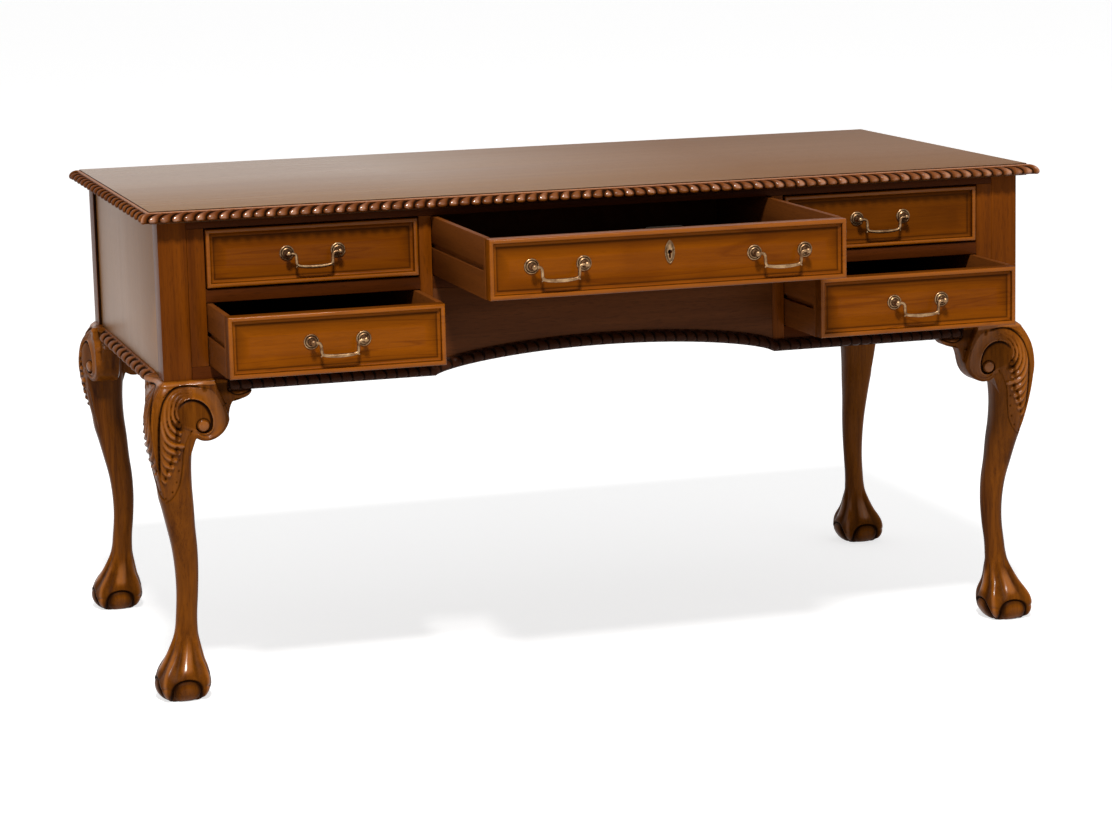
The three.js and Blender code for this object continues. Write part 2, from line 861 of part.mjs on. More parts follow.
// Lock case on the back of the drawer front, open at the top where its bolt comes out
function lockCase(drawerTop) {
  const y0 = frontThickness + glueLine;
  const channelFront = boltFrontY + glueLine - boltClearance;
  const channelBack = boltFrontY + glueLine + boltThickness + boltClearance;
  const body = slab(
    -lockCaseWidth / 2,
    lockCaseWidth / 2,
    y0,
    y0 + lockCaseDepth,
    drawerTop - lockCaseHeight,
    drawerTop,
  );
  const channel = slab(
    -boltWidth / 2 - boltClearance,
    boltWidth / 2 + boltClearance,
    channelFront,
    channelBack,
    drawerTop - boltHeight - boltClearance,
    drawerTop + overrun,
  );
  return cut(body, channel);
}

function lockBolt(drawerTop) {
  const y0 = boltFrontY + glueLine;
  return slab(-boltWidth / 2, boltWidth / 2, y0, y0 + boltThickness, drawerTop - boltHeight, drawerTop);
}

// One drawer with its handles, pulled out by the given distance
function addDrawer(name, x0, x1, bottom, top, handleOffsets, open, locked = false) {
  const place = {
    x0: x0 + frontReveal,
    x1: x1 - frontReveal,
    z0: bottom + frontReveal,
    z1: top - frontReveal,
    locked,
  };
  const middleX = (x0 + x1) / 2;
  const middleZ = (bottom + top) / 2;
  place.keyZ = middleZ + escutcheonRaise;
  place.handles = handleOffsets.map((offset) => ({ x: middleX + offset, z: middleZ + handleRaise }));
  const drawer = new THREE.Group();
  drawer.position.y = -open;
  addPiece(drawer, `drawer_front_${name}`, drawerFront(place), mahogany);
  addPiece(drawer, `drawer_box_${name}`, drawerBox(place), paleMahogany);
  place.handles.forEach((handle, i) => {
    const suffix = place.handles.length > 1 ? `${name}_${['left', 'right'][i]}` : name;
    addPiece(drawer, `bail_${suffix}`, bail(handle.x, handle.z), brass);
    for (const [hand, way] of [['left', -1], ['right', 1]]) {
      const post = handlePost(handle.x + way * handleSpan / 2, handle.z, -way);
      addPiece(drawer, `handle_post_${suffix}_${hand}`, post, brass);
    }
  });
  if (locked) {
    addPiece(drawer, 'escutcheon', escutcheon(place.keyZ), brass);
    addPiece(drawer, 'lock_case', lockCase(place.z1), steel);
    addPiece(drawer, 'lock_bolt', lockBolt(place.z1), steel);
  }
  desk.add(drawer);
}

addCarcase();
const upper = [upperOpeningBottom, topRailBottom];
const lower = [lowerOpeningBottom, lowerOpeningTop];
addDrawer('upper_left', -openingOuterX, -openingInnerX, ...upper, [0], 0);
addDrawer('lower_left', -openingOuterX, -openingInnerX, ...lower, [0], lowerDrawerOpen);
const centerHandleX = kneeholeX - centerHandleInset;
const centerHandles = [-centerHandleX, centerHandleX];
addDrawer('center', -kneeholeX, kneeholeX, ...upper, centerHandles, centerDrawerOpen, true);
addDrawer('upper_right', openingInnerX, openingOuterX, ...upper, [0], 0);
addDrawer('lower_right', openingInnerX, openingOuterX, ...lower, [0], lowerDrawerOpen);

// The origin stands on the floor under the middle of everything, drawers as they are pulled out
const extent = new THREE.Box3().setFromObject(desk);
desk.position.y = -(extent.min.y + extent.max.y) / 2;
desk.updateMatrixWorld(true);

export default desk;
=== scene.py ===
import math

import bpy
import numpy as np
from bpy.props import FloatProperty, FloatVectorProperty, PointerProperty
from mathutils import Matrix, Vector


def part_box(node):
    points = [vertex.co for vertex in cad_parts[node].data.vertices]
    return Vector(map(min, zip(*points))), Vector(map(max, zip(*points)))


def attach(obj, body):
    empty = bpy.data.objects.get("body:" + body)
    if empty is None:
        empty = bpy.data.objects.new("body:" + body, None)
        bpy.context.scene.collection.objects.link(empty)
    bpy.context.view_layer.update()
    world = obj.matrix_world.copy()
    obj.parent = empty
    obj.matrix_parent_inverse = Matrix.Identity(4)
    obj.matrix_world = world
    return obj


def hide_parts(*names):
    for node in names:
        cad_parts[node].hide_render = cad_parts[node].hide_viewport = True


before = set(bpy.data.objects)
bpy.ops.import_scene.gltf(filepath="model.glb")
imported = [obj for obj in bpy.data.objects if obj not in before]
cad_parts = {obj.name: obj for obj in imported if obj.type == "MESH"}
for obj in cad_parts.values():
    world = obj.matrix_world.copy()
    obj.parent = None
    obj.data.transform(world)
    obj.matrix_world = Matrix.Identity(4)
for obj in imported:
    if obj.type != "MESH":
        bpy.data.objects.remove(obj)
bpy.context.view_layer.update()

bl_info = {
    "name": "Carved Writing Desk",
    "version": (1, 0, 0),
    "blender": (4, 5, 0),
    "location": "View3D > Sidebar > Desk",
    "description": "Builds a five drawer kneehole desk on carved cabriole legs round its frame",
    "category": "Object",
}

MM = 0.001
JOINT_GAP = 0.3 * MM
SAME_PLACE = 0.002 * MM
POST_WIDTH = 45 * MM
MOULDING_HEIGHT = 20 * MM

# Places taken from the frame
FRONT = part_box("mid_rail_left")[0].y
POST_INNER = -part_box("filler_stile_left")[0].x + JOINT_GAP
HALF_WIDTH = POST_INNER + POST_WIDTH
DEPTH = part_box("end_panel_left")[1].y + JOINT_GAP + POST_WIDTH - FRONT
MIDDLE_Y = FRONT + DEPTH / 2
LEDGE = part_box("bottom_rail_left")[0].z + MOULDING_HEIGHT
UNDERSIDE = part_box("top_board")[0].z
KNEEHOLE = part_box("kneehole_stile_right")[0].x
# Each corner: side is -1 at the left, end is -1 at the front
CORNERS = ((-1, -1, "front_left"), (1, -1, "front_right"), (-1, 1, "rear_left"), (1, 1, "rear_right"))
DRAWERS = ("upper_left", "lower_left", "center", "upper_right", "lower_right")
BAILS = ("upper_left", "lower_left", "center_left", "center_right", "upper_right", "lower_right")


def srgb(red, green, blue):
    """A screen colour of 0 to 255 as the linear one that shaders take."""
    levels = [c / 255 for c in (red, green, blue)]
    return tuple(c / 12.92 if c <= 0.04045 else ((c + 0.055) / 1.055) ** 2.4 for c in levels)


def bump(x):
    return np.exp(-x * x)


def ease(low, high, x):
    """0 below low, 1 above high, and a smooth rise between them. low may be the larger."""
    t = np.clip((x - low) / (high - low), 0, 1)
    return t * t * (3 - 2 * t)


def curve(t, start, stop, rise, fall=0):
    """A smooth curve from start to stop over t from 0 to 1. rise and fall are its slopes at the ends."""
    return (
        (1 + 2 * t) * (1 - t) ** 2 * start + t * (1 - t) ** 2 * rise
        + t * t * (3 - 2 * t) * stop + t * t * (t - 1) * fall
    )


def flowing(xs, ys, x):
    """A smooth curve through the points, read at x."""
    xs, ys = np.asarray(xs, float), np.asarray(ys, float)
    slope = np.gradient(ys, xs)
    i = np.clip(np.searchsorted(xs, x) - 1, 0, len(xs) - 2)
    step = xs[i + 1] - xs[i]
    t = np.clip((x - xs[i]) / step, 0, 1)
    return curve(t, ys[i], ys[i + 1], step * slope[i], step * slope[i + 1])


def drawn(points, steps=10):
    """The points joined by a smooth line."""
    points = np.asarray(points, float)
    along = np.arange(len(points), dtype=float)
    fine = np.linspace(0, len(points) - 1, (len(points) - 1) * steps + 1)
    return np.column_stack([flowing(along, points[:, k], fine) for k in range(2)])


def traced(line):
    """A function that gives the place on a line at a length along it, and the whole length."""
    steps = np.r_[0, np.cumsum(np.hypot(*np.diff(line, axis=0).T))]
    return lambda at: np.array([np.interp(at, steps, line[:, k]) for k in range(2)]), steps[-1]


def off_line(line, a, b):
    """Distance from each place (a, b) to a line, and how far along the line its nearest point is."""
    best = np.full(a.shape, 1e9)
    where = np.zeros(a.shape)
    for i in range(len(line) - 1):
        p, q = line[i], line[i + 1]
        d = q - p
        t = np.clip(((a - p[0]) * d[0] + (b - p[1]) * d[1]) / max(d @ d, 1e-12), 0, 1)
        dist = np.hypot(a - p[0] - t * d[0], b - p[1] - t * d[1])
        nearer = dist < best
        best = np.where(nearer, dist, best)
        where = np.where(nearer, (i + t) / (len(line) - 1), where)
    return best, where


# Modelling


def clear_selection():
    if bpy.context.object and bpy.context.object.mode != "OBJECT":
        bpy.ops.object.mode_set(mode="OBJECT")
    bpy.ops.object.select_all(action="DESELECT")


def take_up(piece):
    clear_selection()
    piece.select_set(True)
    bpy.context.view_layer.objects.active = piece
    return piece


def named(name):
    piece = bpy.context.object
    piece.name = piece.data.name = name
    bpy.ops.object.transform_apply(location=True, rotation=True, scale=True)
    return piece


def smoothed(piece, degrees=35):
    take_up(piece)
    bpy.ops.object.shade_smooth_by_angle(angle=math.radians(degrees))
    return piece


def places(piece):
    co = np.empty(len(piece.data.vertices) * 3)
    piece.data.vertices.foreach_get("co", co)
    return co.reshape(-1, 3)


def move_to(piece, co):
    piece.data.vertices.foreach_set("co", np.ascontiguousarray(co, float).ravel())
    piece.data.update()


def mark_patina_and_shade(piece, hollow):
    """How much the finish darkens each point: patina and painted shade, with a painted highlight below zero.
    """
    layer = piece.data.attributes.get("hollow") or piece.data.attributes.new("hollow", "FLOAT", "POINT")
    layer.data.foreach_set("value", np.ascontiguousarray(hollow, np.float32))


def edit_all():
    """Goes into edit mode with the whole mesh selected."""
    bpy.ops.object.mode_set(mode="EDIT")
    bpy.ops.mesh.select_all(action="SELECT")


def laid(name, columns, rows, place, degrees=50):
    """A grid bent to its shape.

    place takes two arrays from 0 to 1 and gives the points, and how much the finish darkens each: patina and
    painted shade, with a painted highlight below zero.
    """
    clear_selection()
    bpy.ops.mesh.primitive_grid_add(x_subdivisions=columns, y_subdivisions=rows, size=2)
    piece = named(name)
    flat = places(piece)
    points, hollow = place((flat[:, 0] + 1) / 2, (flat[:, 1] + 1) / 2)
    move_to(piece, points)
    mark_patina_and_shade(piece, np.broadcast_to(hollow, len(points)))
    edit_all()
    bpy.ops.mesh.remove_doubles(threshold=SAME_PLACE)
    bpy.ops.mesh.select_all(action="DESELECT")
    bpy.ops.mesh.select_mode(type="EDGE")
    bpy.ops.mesh.select_non_manifold()
    bpy.ops.mesh.fill_holes(sides=0)
    bpy.ops.mesh.select_all(action="SELECT")
    bpy.ops.mesh.normals_make_consistent(inside=False)
    bpy.ops.object.mode_set(mode="OBJECT")
    return smoothed(piece, degrees)


def use_modifier(piece, kind, **settings):
    take_up(piece)
    modifier = piece.modifiers.new(kind.title(), kind)
    for key, value in settings.items():
        setattr(modifier, key, value)
    bpy.ops.object.modifier_apply(modifier=modifier.name)


def rub_down(piece, width, segments=2, **settings):
    """Rounds the sharp edges."""
    use_modifier(piece, "BEVEL", width=width, segments=segments, limit_method="ANGLE", **settings)


def eased(name, node, width):
    """A board cut as in the frame, with its sharp edges rubbed down."""
    piece = bpy.data.objects.new(name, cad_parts[node].data.copy())
    piece.data.name = name
    bpy.context.scene.collection.objects.link(piece)
    take_up(piece)
    bpy.ops.mesh.customdata_custom_splitnormals_clear()
    edit_all()
    bpy.ops.mesh.remove_doubles(threshold=SAME_PLACE)
    bpy.ops.mesh.dissolve_limited(angle_limit=math.radians(0.5))
    bpy.ops.object.mode_set(mode="OBJECT")
    rub_down(piece, width, angle_limit=math.radians(35))
    return smoothed(piece, 32)


def placed_copy(piece, name, matrix):
    """A copy with its own mesh, moved by a matrix that may mirror it."""
    take_up(piece)
    bpy.ops.object.duplicate()
    copy = bpy.context.object
    copy.name = copy.data.name = name
    copy.data.transform(matrix)
    if matrix.determinant() < 0:
        edit_all()
        bpy.ops.mesh.flip_normals()
        bpy.ops.object.mode_set(mode="OBJECT")
    return copy


def block(name, low, high):
    """A board added at its size and place."""
    clear_selection()
    low, high = Vector(low), Vector(high)
    bpy.ops.mesh.primitive_cube_add(size=1, location=(low + high) / 2, scale=high - low)
    return named(name)


def discard(*pieces):
    for piece in pieces:
        bpy.data.objects.remove(piece)


def middle_of(node):
    low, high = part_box(node)
    return (low + high) / 2


def finish(piece, body, look, node):
    """Gives a piece its finish, the body it rides on and the node whose place it takes."""
    slot_name, material = finish_of(look)
    piece.data.materials.clear()
    piece.data.materials.append(material)
    for polygon in piece.data.polygons:
        polygon.material_index = 0
    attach(piece, body)
    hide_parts(node)


# Finishes


class Signal:
    """A shader socket that takes part in sums."""

    def __init__(self, look, socket):
        self.look, self.socket = look, socket

    def with_(self, operation, *others):
        return self.look.add("Math", {"operation": operation}, self, *others)

    def __add__(self, other):
        return self.with_("ADD", other)

    def __sub__(self, other):
        return self.with_("SUBTRACT", other)

    def __mul__(self, other):
        return self.with_("MULTIPLY", other)

    def __rsub__(self, other):
        return self.look.add("Math", {"operation": "SUBTRACT"}, other, self)

    __radd__ = __add__
    __rmul__ = __mul__

    def limited(self, low, high, to_low=0.0, to_high=1.0):
        """Low to high becomes to_low to to_high, and no further."""
        return self.look.add("MapRange", {"clamp": True}, self, low, high, to_low, to_high)


class Look:
    """The nodes of a material or of the world, under construction."""

    def __init__(self, owner):
        self.owner = owner
        owner.use_nodes = True
        self.tree = owner.node_tree
        self.tree.nodes.clear()

    def add(self, kind, settings=None, *inputs, output=0, **by_name):
        """A node of a type, its settings, and the values or links of its sockets."""
        node = self.tree.nodes.new("ShaderNode" + kind)
        for key, value in (settings or {}).items():
            setattr(node, key, value)
        named_inputs = {key.replace("_", " "): value for key, value in by_name.items()}
        for key, value in [*enumerate(inputs), *named_inputs.items()]:
            socket = node.inputs[key]
            if isinstance(value, Signal):
                self.tree.links.new(value.socket, socket)
            elif value is not None:
                socket.default_value = (*value, 1) if socket.type == "RGBA" else value
        return Signal(self, node.outputs[output]) if node.outputs else None

    def mixed(self, amount, first, second):
        """Two colours mixed by an amount."""
        settings = {"data_type": "RGBA", "clamp_factor": True}
        return self.add("Mix", settings, amount, *[None] * 5, first, second, output=2)

    def place(self, scale, offset=(0, 0, 0)):
        """Object coordinates, stretched and moved."""
        spot = self.add("TexCoord", output=3)
        return self.add("Mapping", {"vector_type": "POINT"}, spot, offset, (0, 0, 0), scale)

    def noise(self, where, scale=1.0, detail=3.0, roughness=0.5, distortion=0.0):
        sockets = {"Scale": scale, "Detail": detail, "Roughness": roughness, "Distortion": distortion}
        return self.add("TexNoise", None, Vector=where, **sockets)

    def hollow(self):
        """The darkening of each point, as marked when its piece was modelled: patina and painted shade, with
        painted highlights below zero.
        """
        return self.add("Attribute", {"attribute_name": "hollow"}, output=2)

    def direct(self):
        """1 for rays from the camera, and for those that come by a mirror or through glass."""
        camera, glossy, through = (self.add("LightPath", output=k) for k in (0, 3, 6))
        return camera.with_("MAXIMUM", glossy).with_("MAXIMUM", through)

    def surface(self, colour, roughness, relief=None, **constants):
        """Ends the material in one surface shader."""
        raised = relief and self.add("Bump", None, Height=relief, Distance=RELIEF_DEPTH, Strength=1.0)
        sockets = {"Base Color": colour, "Roughness": roughness, "Normal": raised, **constants}
        self.add("OutputMaterial", None, self.add("BsdfPrincipled", None, **sockets))
        return self.owner


# Each layer of the grain: how often it varies along and across a board, for each metre, then its detail,
# its roughness and its distortion
FIGURE = (0.9, 5.5, 3.0, 0.55, 0.9)
BANDS = (1.6, 42, 3.0, 0.55, 0.35)
STREAKS = (7, 210, 2.0, 0.6)
PORES = (55, 900, 1.0)
WAVES = (0.8, 13, 3.0, 0.6, 1.2)
CLOUDS = (9, 9, 2.0, 0.5, 0.4)
FIGURE_SHARE, BANDS_SHARE, STREAKS_SHARE = 0.42, 0.4, 0.18
GRAIN_SPREAD = 0.17
VEIN_WIDTH = 0.018
RELIEF_DEPTH = 0.12 * MM


def tones(*names):
    colours = bpy.context.scene.desk_colours
    return [getattr(colours, name) for name in names]


def wood(
    name, along, part, gloss, ior, contrast=1.0, offset=(0, 0, 0), veins=0.0, drift=0.0, highlight=0.0, coat=1.5,
):
    """Polished mahogany with its grain along one of the desk's directions.

    drift makes it rougher towards the right and darkens its colour there, painted shade for a dimmer
    reflection.
    rubbed is how much gloss lies on carving that stands proud of its grooves, where marks below zero also mix
    in a pale colour as a painted highlight, and coat is the refraction of that gloss.
    """
    look = Look(bpy.data.materials.new(name))
    light, dark, deep, pale = tones(f"{part}_light", f"{part}_dark", "wood_deep", "wood_highlight")

    def layer(lengthways, crossways, *settings):
        scale = [lengthways if k == along else crossways for k in range(3)]
        return look.noise(look.place(scale, offset), 1.0, *settings)

    figure, bands, streaks = layer(*FIGURE), layer(*BANDS), layer(*STREAKS)
    grain = figure * FIGURE_SHARE + bands * BANDS_SHARE + streaks * STREAKS_SHARE
    spread = GRAIN_SPREAD / contrast
    tone = grain.limited(0.5 - spread, 0.5 + spread)
    colour = look.mixed(tone, dark, light)
    dulled_and_shaded = 0.0
    # Towards the right the colour darkens, painted shade for a dimmer reflection, and the finish turns
    # rougher
    if drift:
        place = look.add("SeparateXYZ", None, look.place((1, 0.35, 1)))
        dulled_and_shaded = (place + figure * 0.25).limited(-0.15, 0.45) * drift
        colour = look.mixed(dulled_and_shaded, colour, dark)
    if veins:
        crossing = (layer(*WAVES) - 0.5).with_("ABSOLUTE")
        colour = look.mixed(crossing.limited(0.0, VEIN_WIDTH, veins, 0.0), colour, dark)
        colour = look.mixed(layer(*CLOUDS).limited(0.5, 0.68) * veins * 0.5, colour, dark)
    pits = layer(*PORES).limited(0.56, 0.7)
    colour = look.mixed(pits * (0.12 if veins else 0.28), colour, deep)
    hollow = look.hollow()
    colour = look.mixed(hollow.limited(0.03, 0.85, 0.0, 0.94), colour, deep)
    proud = {}
    # Marks below zero mix in the pale colour as a painted highlight, and carry the coat's gloss
    if highlight:
        colour = look.mixed(hollow.limited(-1.0, 0.0, 1.0, 0.0), colour, pale)
        shine = hollow.limited(-0.5, 0.05, highlight, 0.0)
        proud = {"Coat_Weight": shine, "Coat_Roughness": 0.2, "Coat_IOR": coat}
    sheen = gloss + (1 - tone) * 0.06 + streaks * 0.06 + hollow.limited(0, 1) * 0.3 + dulled_and_shaded * 0.45
    relief = (streaks * 0.3 + bands * 0.7) - pits * 0.35
    return look.surface(colour, sheen, relief, IOR=ior, **proud)


def metal(name, part, gloss, grain=260, bare=1.0, ior=1.5):
    """Old cast metal, bright on what stands up and brown in its recesses. bare is how little rust is on it.
    """
    look = Look(bpy.data.materials.new(name))
    light, dark, deep = tones(f"{part}_light", f"{part}_dark", "brass_deep")
    where = look.place((1, 1, 1))
    patches = look.noise(where, grain * 0.35, 4.0, 0.6, 0.6).limited(0.35, 0.68)
    specks = look.noise(where, grain * 4, 2.0, 0.6).limited(0.5, 0.75)
    hollow = look.hollow()
    colour = look.mixed(patches, dark, light)
    colour = look.mixed(specks * 0.3, colour, deep)
    colour = look.mixed(hollow.limited(0.1, 1.0, 0.0, 0.9), colour, deep)
    sheen = gloss + (1 - patches) * 0.14 + hollow * 0.2
    return look.surface(colour, sheen, patches * 0.6 + specks * 0.4, Metallic=bare, IOR=ior)


def build_finishes():
    """Each finish with the slot of the pieces that have it."""
    polished, carved, timber = "polished_mahogany", "carved_mahogany", "inner_timber"
    return {
        "top": (polished, wood("top_mahogany", 0, "top", 0.22, 1.2, 0.4, (0.3, 1.7, 0), drift=0.6)),
        "across": (polished, wood("rail_mahogany", 0, "rail", 0.3, 1.1, offset=(2.1, 0.4, 5.2))),
        "upright": (polished, wood("post_mahogany", 2, "wood", 0.3, 1.13, 1.2, (1.3, 4.4, 0.2))),
        "panel": (polished, wood("panel_mahogany", 2, "panel", 0.3, 1.28, 0.4, (7.3, 2.2, 1))),
        "apron": (polished, wood("apron_mahogany", 0, "apron", 0.36, 1.15, 0.9, (5.5, 0, 3))),
        "field": ("drawer_mahogany", wood(
            "drawer_mahogany", 0, "field", 0.27, 1.1, 0.9, (4.2, 8.4, 2.6), veins=0.6, highlight=0.5,
        )),
        "carved": (carved, wood(
            "carved_mahogany", 2, "carving", 0.24, 1.09, 1.4, (3.3, 1.1, 6.5), highlight=0.55,
        )),
        "edge": (carved, wood(
            "edge_mahogany", 0, "edge", 0.24, 1.08, 1.0, (0.6, 0.2, 9.1), highlight=1.0, coat=1.9,
        )),
        "side_edge": (carved, wood("side_edge_mahogany", 1, "edge", 0.3, 1.06, highlight=0.25)),
        "frieze": (carved, wood("frieze_mahogany", 0, "frieze", 0.3, 1.13, 0.8, (0.9, 3.2, 1.1))),
        "box": (timber, wood("box_timber", 1, "box", 0.42, 1.1, 0.9, (0, 3.1, 4.4))),
        "inside": (timber, wood("inside_timber", 1, "inside", 0.6, 1.1, 0.8)),
        "brass": ("aged_brass", metal("aged_brass", "brass", 0.3)),
        "steel": ("lock_steel", metal("lock_steel", "steel", 0.6, 180, 0.1, 1.04)),
    }


FINISHES = {}


def finish_of(name):
    if not FINISHES:
        FINISHES.update(build_finishes())
    return FINISHES[name]


# Carved legs and knee brackets

# Each row: height, reach outwards of the middle, half width, squareness, all in mm but the last
LEG_ROWS = (
    (0, 7.0, 28, 2.5), (2, 7.1, 31.5, 2.5), (6, 7.2, 36.0, 2.6), (12, 7.1, 40.5, 2.7), (20, 6.7, 43.8, 2.7),
    (30, 6.4, 44.3, 2.7), (40, 5.6, 41.6, 2.7), (50, 4.3, 37, 2.6), (60, 2.8, 32, 2.5), (70, 1.0, 28, 2.4),
    (80, -0.7, 24.3, 2.3), (90, -2.2, 21.3, 2.2), (100, -3.5, 19.3, 2.1), (115, -5.0, 17.6, 2.0),
    (128, -5.9, 17.1, 2.0), (165, -9.2, 17.3, 2.0), (200, -10.1, 18.5, 2.1), (240, -7.7, 20.3, 2.3),
    (275, -2.5, 22.5, 2.4), (310, 2.5, 25.7, 2.5), (345, 8.7, 29.2, 2.6), (380, 12.6, 32.9, 2.6),
    (415, 14.0, 36.9, 2.7), (450, 13.2, 39.6, 2.8), (476, 10.4, 38.3, 3.0), (494, 6.3, 34.2, 4.0),
    (504, 3.4, 30.4, 5.5), (509, 1.6, 27.4, 8), (512, 0.6, 24.5, 9),
)
LEG_TOP, KNEE_TOP = 512, 471
POST_HALF = 22.5
GROUND = 3.4
FOOT_ROW_SHARE, SHIN_ROW_SHARE = 0.26, 0.52
FOOT_TOP, SHIN_TOP = 112, 292
BALL_MIDDLE, BALL_HALF, BALL_POWER = 14, 25, 2.3
BALL_UPPER, BALL_LOWER = 21.5, 30
# Heights and depths of the foot's carving, in mm
CLAW, FLUTE, RIM_CUT, NAIL_CUT, TOE_CUT, RIDGE = 3.4, 2.6, 4.4, 1.8, 1.5, 1.5

# Lines of the knee carving, in mm: how far inwards of the post's inner face (negative on the leg), and height
OUTER_GROOVE = (
    (-62, 318), (-62, 345), (-62.2, 372), (-62.3, 395), (-62, 420), (-60.8, 443), (-58, 462), (-53, 478),
    (-46, 489), (-37, 497.5), (-27, 502.5), (-14, 504.5), (0, 503.5), (12, 501.5),
)
BAND_OUTER = (
    (-59, 448), (-57, 462), (-52.5, 475.5), (-46, 486.5), (-37, 495.5), (-27, 501), (-14, 503), (0, 502),
    (12, 501), (24, 497.5), (33, 489), (40, 477), (44.8, 463), (46.8, 449), (44, 437), (37, 428.5),
    (28.5, 422.5), (19, 420), (10, 421.5), (3.5, 426),
)
BAND_INNER = (
    (-24, 447), (-27.5, 458), (-27, 469), (-22.5, 477.5), (-15, 482.5), (-6, 484), (3, 482.5), (11, 478.5),
    (18, 472), (23, 463), (26, 453), (26.5, 443), (24.5, 434.5), (19, 429.5), (12.5, 428.5), (6.5, 430.5),
    (2.5, 434.5),
)
FACE_EDGE = ((31, 520), (33, 508), (36.5, 499), (41.5, 487), (46, 475), (49.5, 462), (53, 449), (54, 440))
EYE = (11.5, 441.0)
EYE_RADIUS = 9.8
# Each lobe of the leaf: its line, its half width and its height at the tip
LEAF_LOBES = (
    (((-4, 487), (-16, 486.5), (-25, 481), (-30, 471), (-30.5, 461), (-27, 454)), 2.4, 2.2),
    (((-4, 491), (-20, 491), (-31, 483.5), (-36.5, 470), (-36.5, 457), (-28, 445)), 2.8, 2.8),
    (((-4, 494.5), (-24, 495), (-37, 485.5), (-43, 469), (-43, 450), (-36, 438), (-27, 432.5)), 3.0, 3.2),
    (((-6, 498), (-28, 498.5), (-43, 486.5), (-49.5, 468), (-49.5, 447), (-43, 431), (-29, 422.5)), 3.1, 3.4),
    ((
        (-8, 500.5), (-31, 500), (-48.5, 486), (-55.5, 466), (-55.5, 443), (-49, 423), (-37, 414),
        (-23, 411.5),
    ), 3.3, 3.6),
    (((-58.5, 448), (-57.5, 428), (-51, 412), (-41, 404), (-30, 401.5)), 3.4, 3.4),
    (((-59.5, 430), (-58, 411), (-52, 398), (-44, 391.5), (-35.5, 389)), 3.2, 3.2),
    (((-60, 412), (-58.5, 396), (-53.5, 384.5), (-46.5, 379.5), (-40, 378)), 3.0, 3.0),
    (((-60, 395), (-59, 381), (-55.5, 371.5), (-50.5, 367), (-45, 366)), 2.7, 2.6),
    (((-60.5, 378), (-60, 366), (-57.5, 358), (-53, 354)), 2.4, 2.2),
    (((-60.5, 362), (-60.5, 350), (-59.5, 342), (-57, 338)), 2.0, 1.8),
)
# Each hole between the lobes: its place and its radius
LEAF_GAPS = (
    ((16, 500.2), 2.6), ((-29, 448.5), 2.6), ((-31, 439), 2.2), ((-32, 428), 2.6), ((-33, 406), 2.6),
    ((-40, 395), 2.2), ((-43, 384), 2.2), ((-49, 372), 2.0), ((-52.5, 360), 1.8),
)
FIELD_EDGE = (
    (-7, 434), (-13, 424), (-17, 413), (-20, 400), (-21.5, 384), (-24, 366), (-28, 350), (-34, 337),
    (-41, 327), (-49, 320.5), (-58, 317),
)
FIELD_BACK = ((-62, 330), (-62, 440), (-20, 440))
DRILLED = ((-29, 371.5), (-33.5, 353), (-40.5, 337), (-52, 326), (-27.5, 389))
HEM_REEDS = (-65.2, -68.4)
NO_LEAF = -9.0
# Depths of the cuts and heights of what stands, in mm
OUTER_CUT, INNER_CUT, EYE_CUT, EDGE_CUT, EAR_CUT = 3.0, 3.2, 2.6, 1.3, 2.4
DRILL_DEPTH, GAP_DEPTH, SCOOP_DEPTH, FIELD_DEPTH, LEAF_SHADOW = 2.2, 1.7, 1.9, 1.1, 1.6
OUTER_LIP, INNER_LIP, BORDER, EYE_HEIGHT, REED = 0.8, 1.2, 1.8, 3.0, 0.6
EAR_GROOVE = ((56, 493), (61, 487.5), (68, 485), (77, 485.5), (84, 487.5), (90, 490.5))
EAR_LOBES = (
    (((54, 489), (60, 487.5), (68, 486), (76, 487)), 3.0, 2.6),
    (((62, 483), (70, 483.5), (80, 485), (90, 488)), 2.6, 2.5),
    (((52, 478), (55, 472), (55.5, 464), (54, 456)), 2.6, 1.4),
)


def within(line, a, b):
    """1 where a place lies inside a closed line."""
    crossings = np.zeros(a.shape, int)
    for p, q in zip(line, np.roll(line, -1, axis=0)):
        over = (p[1] > b) != (q[1] > b)
        crossings += over & (a < (q[0] - p[0]) * (b - p[1]) / (q[1] - p[1] + 1e-12) + p[0])
    return (crossings % 2).astype(float)


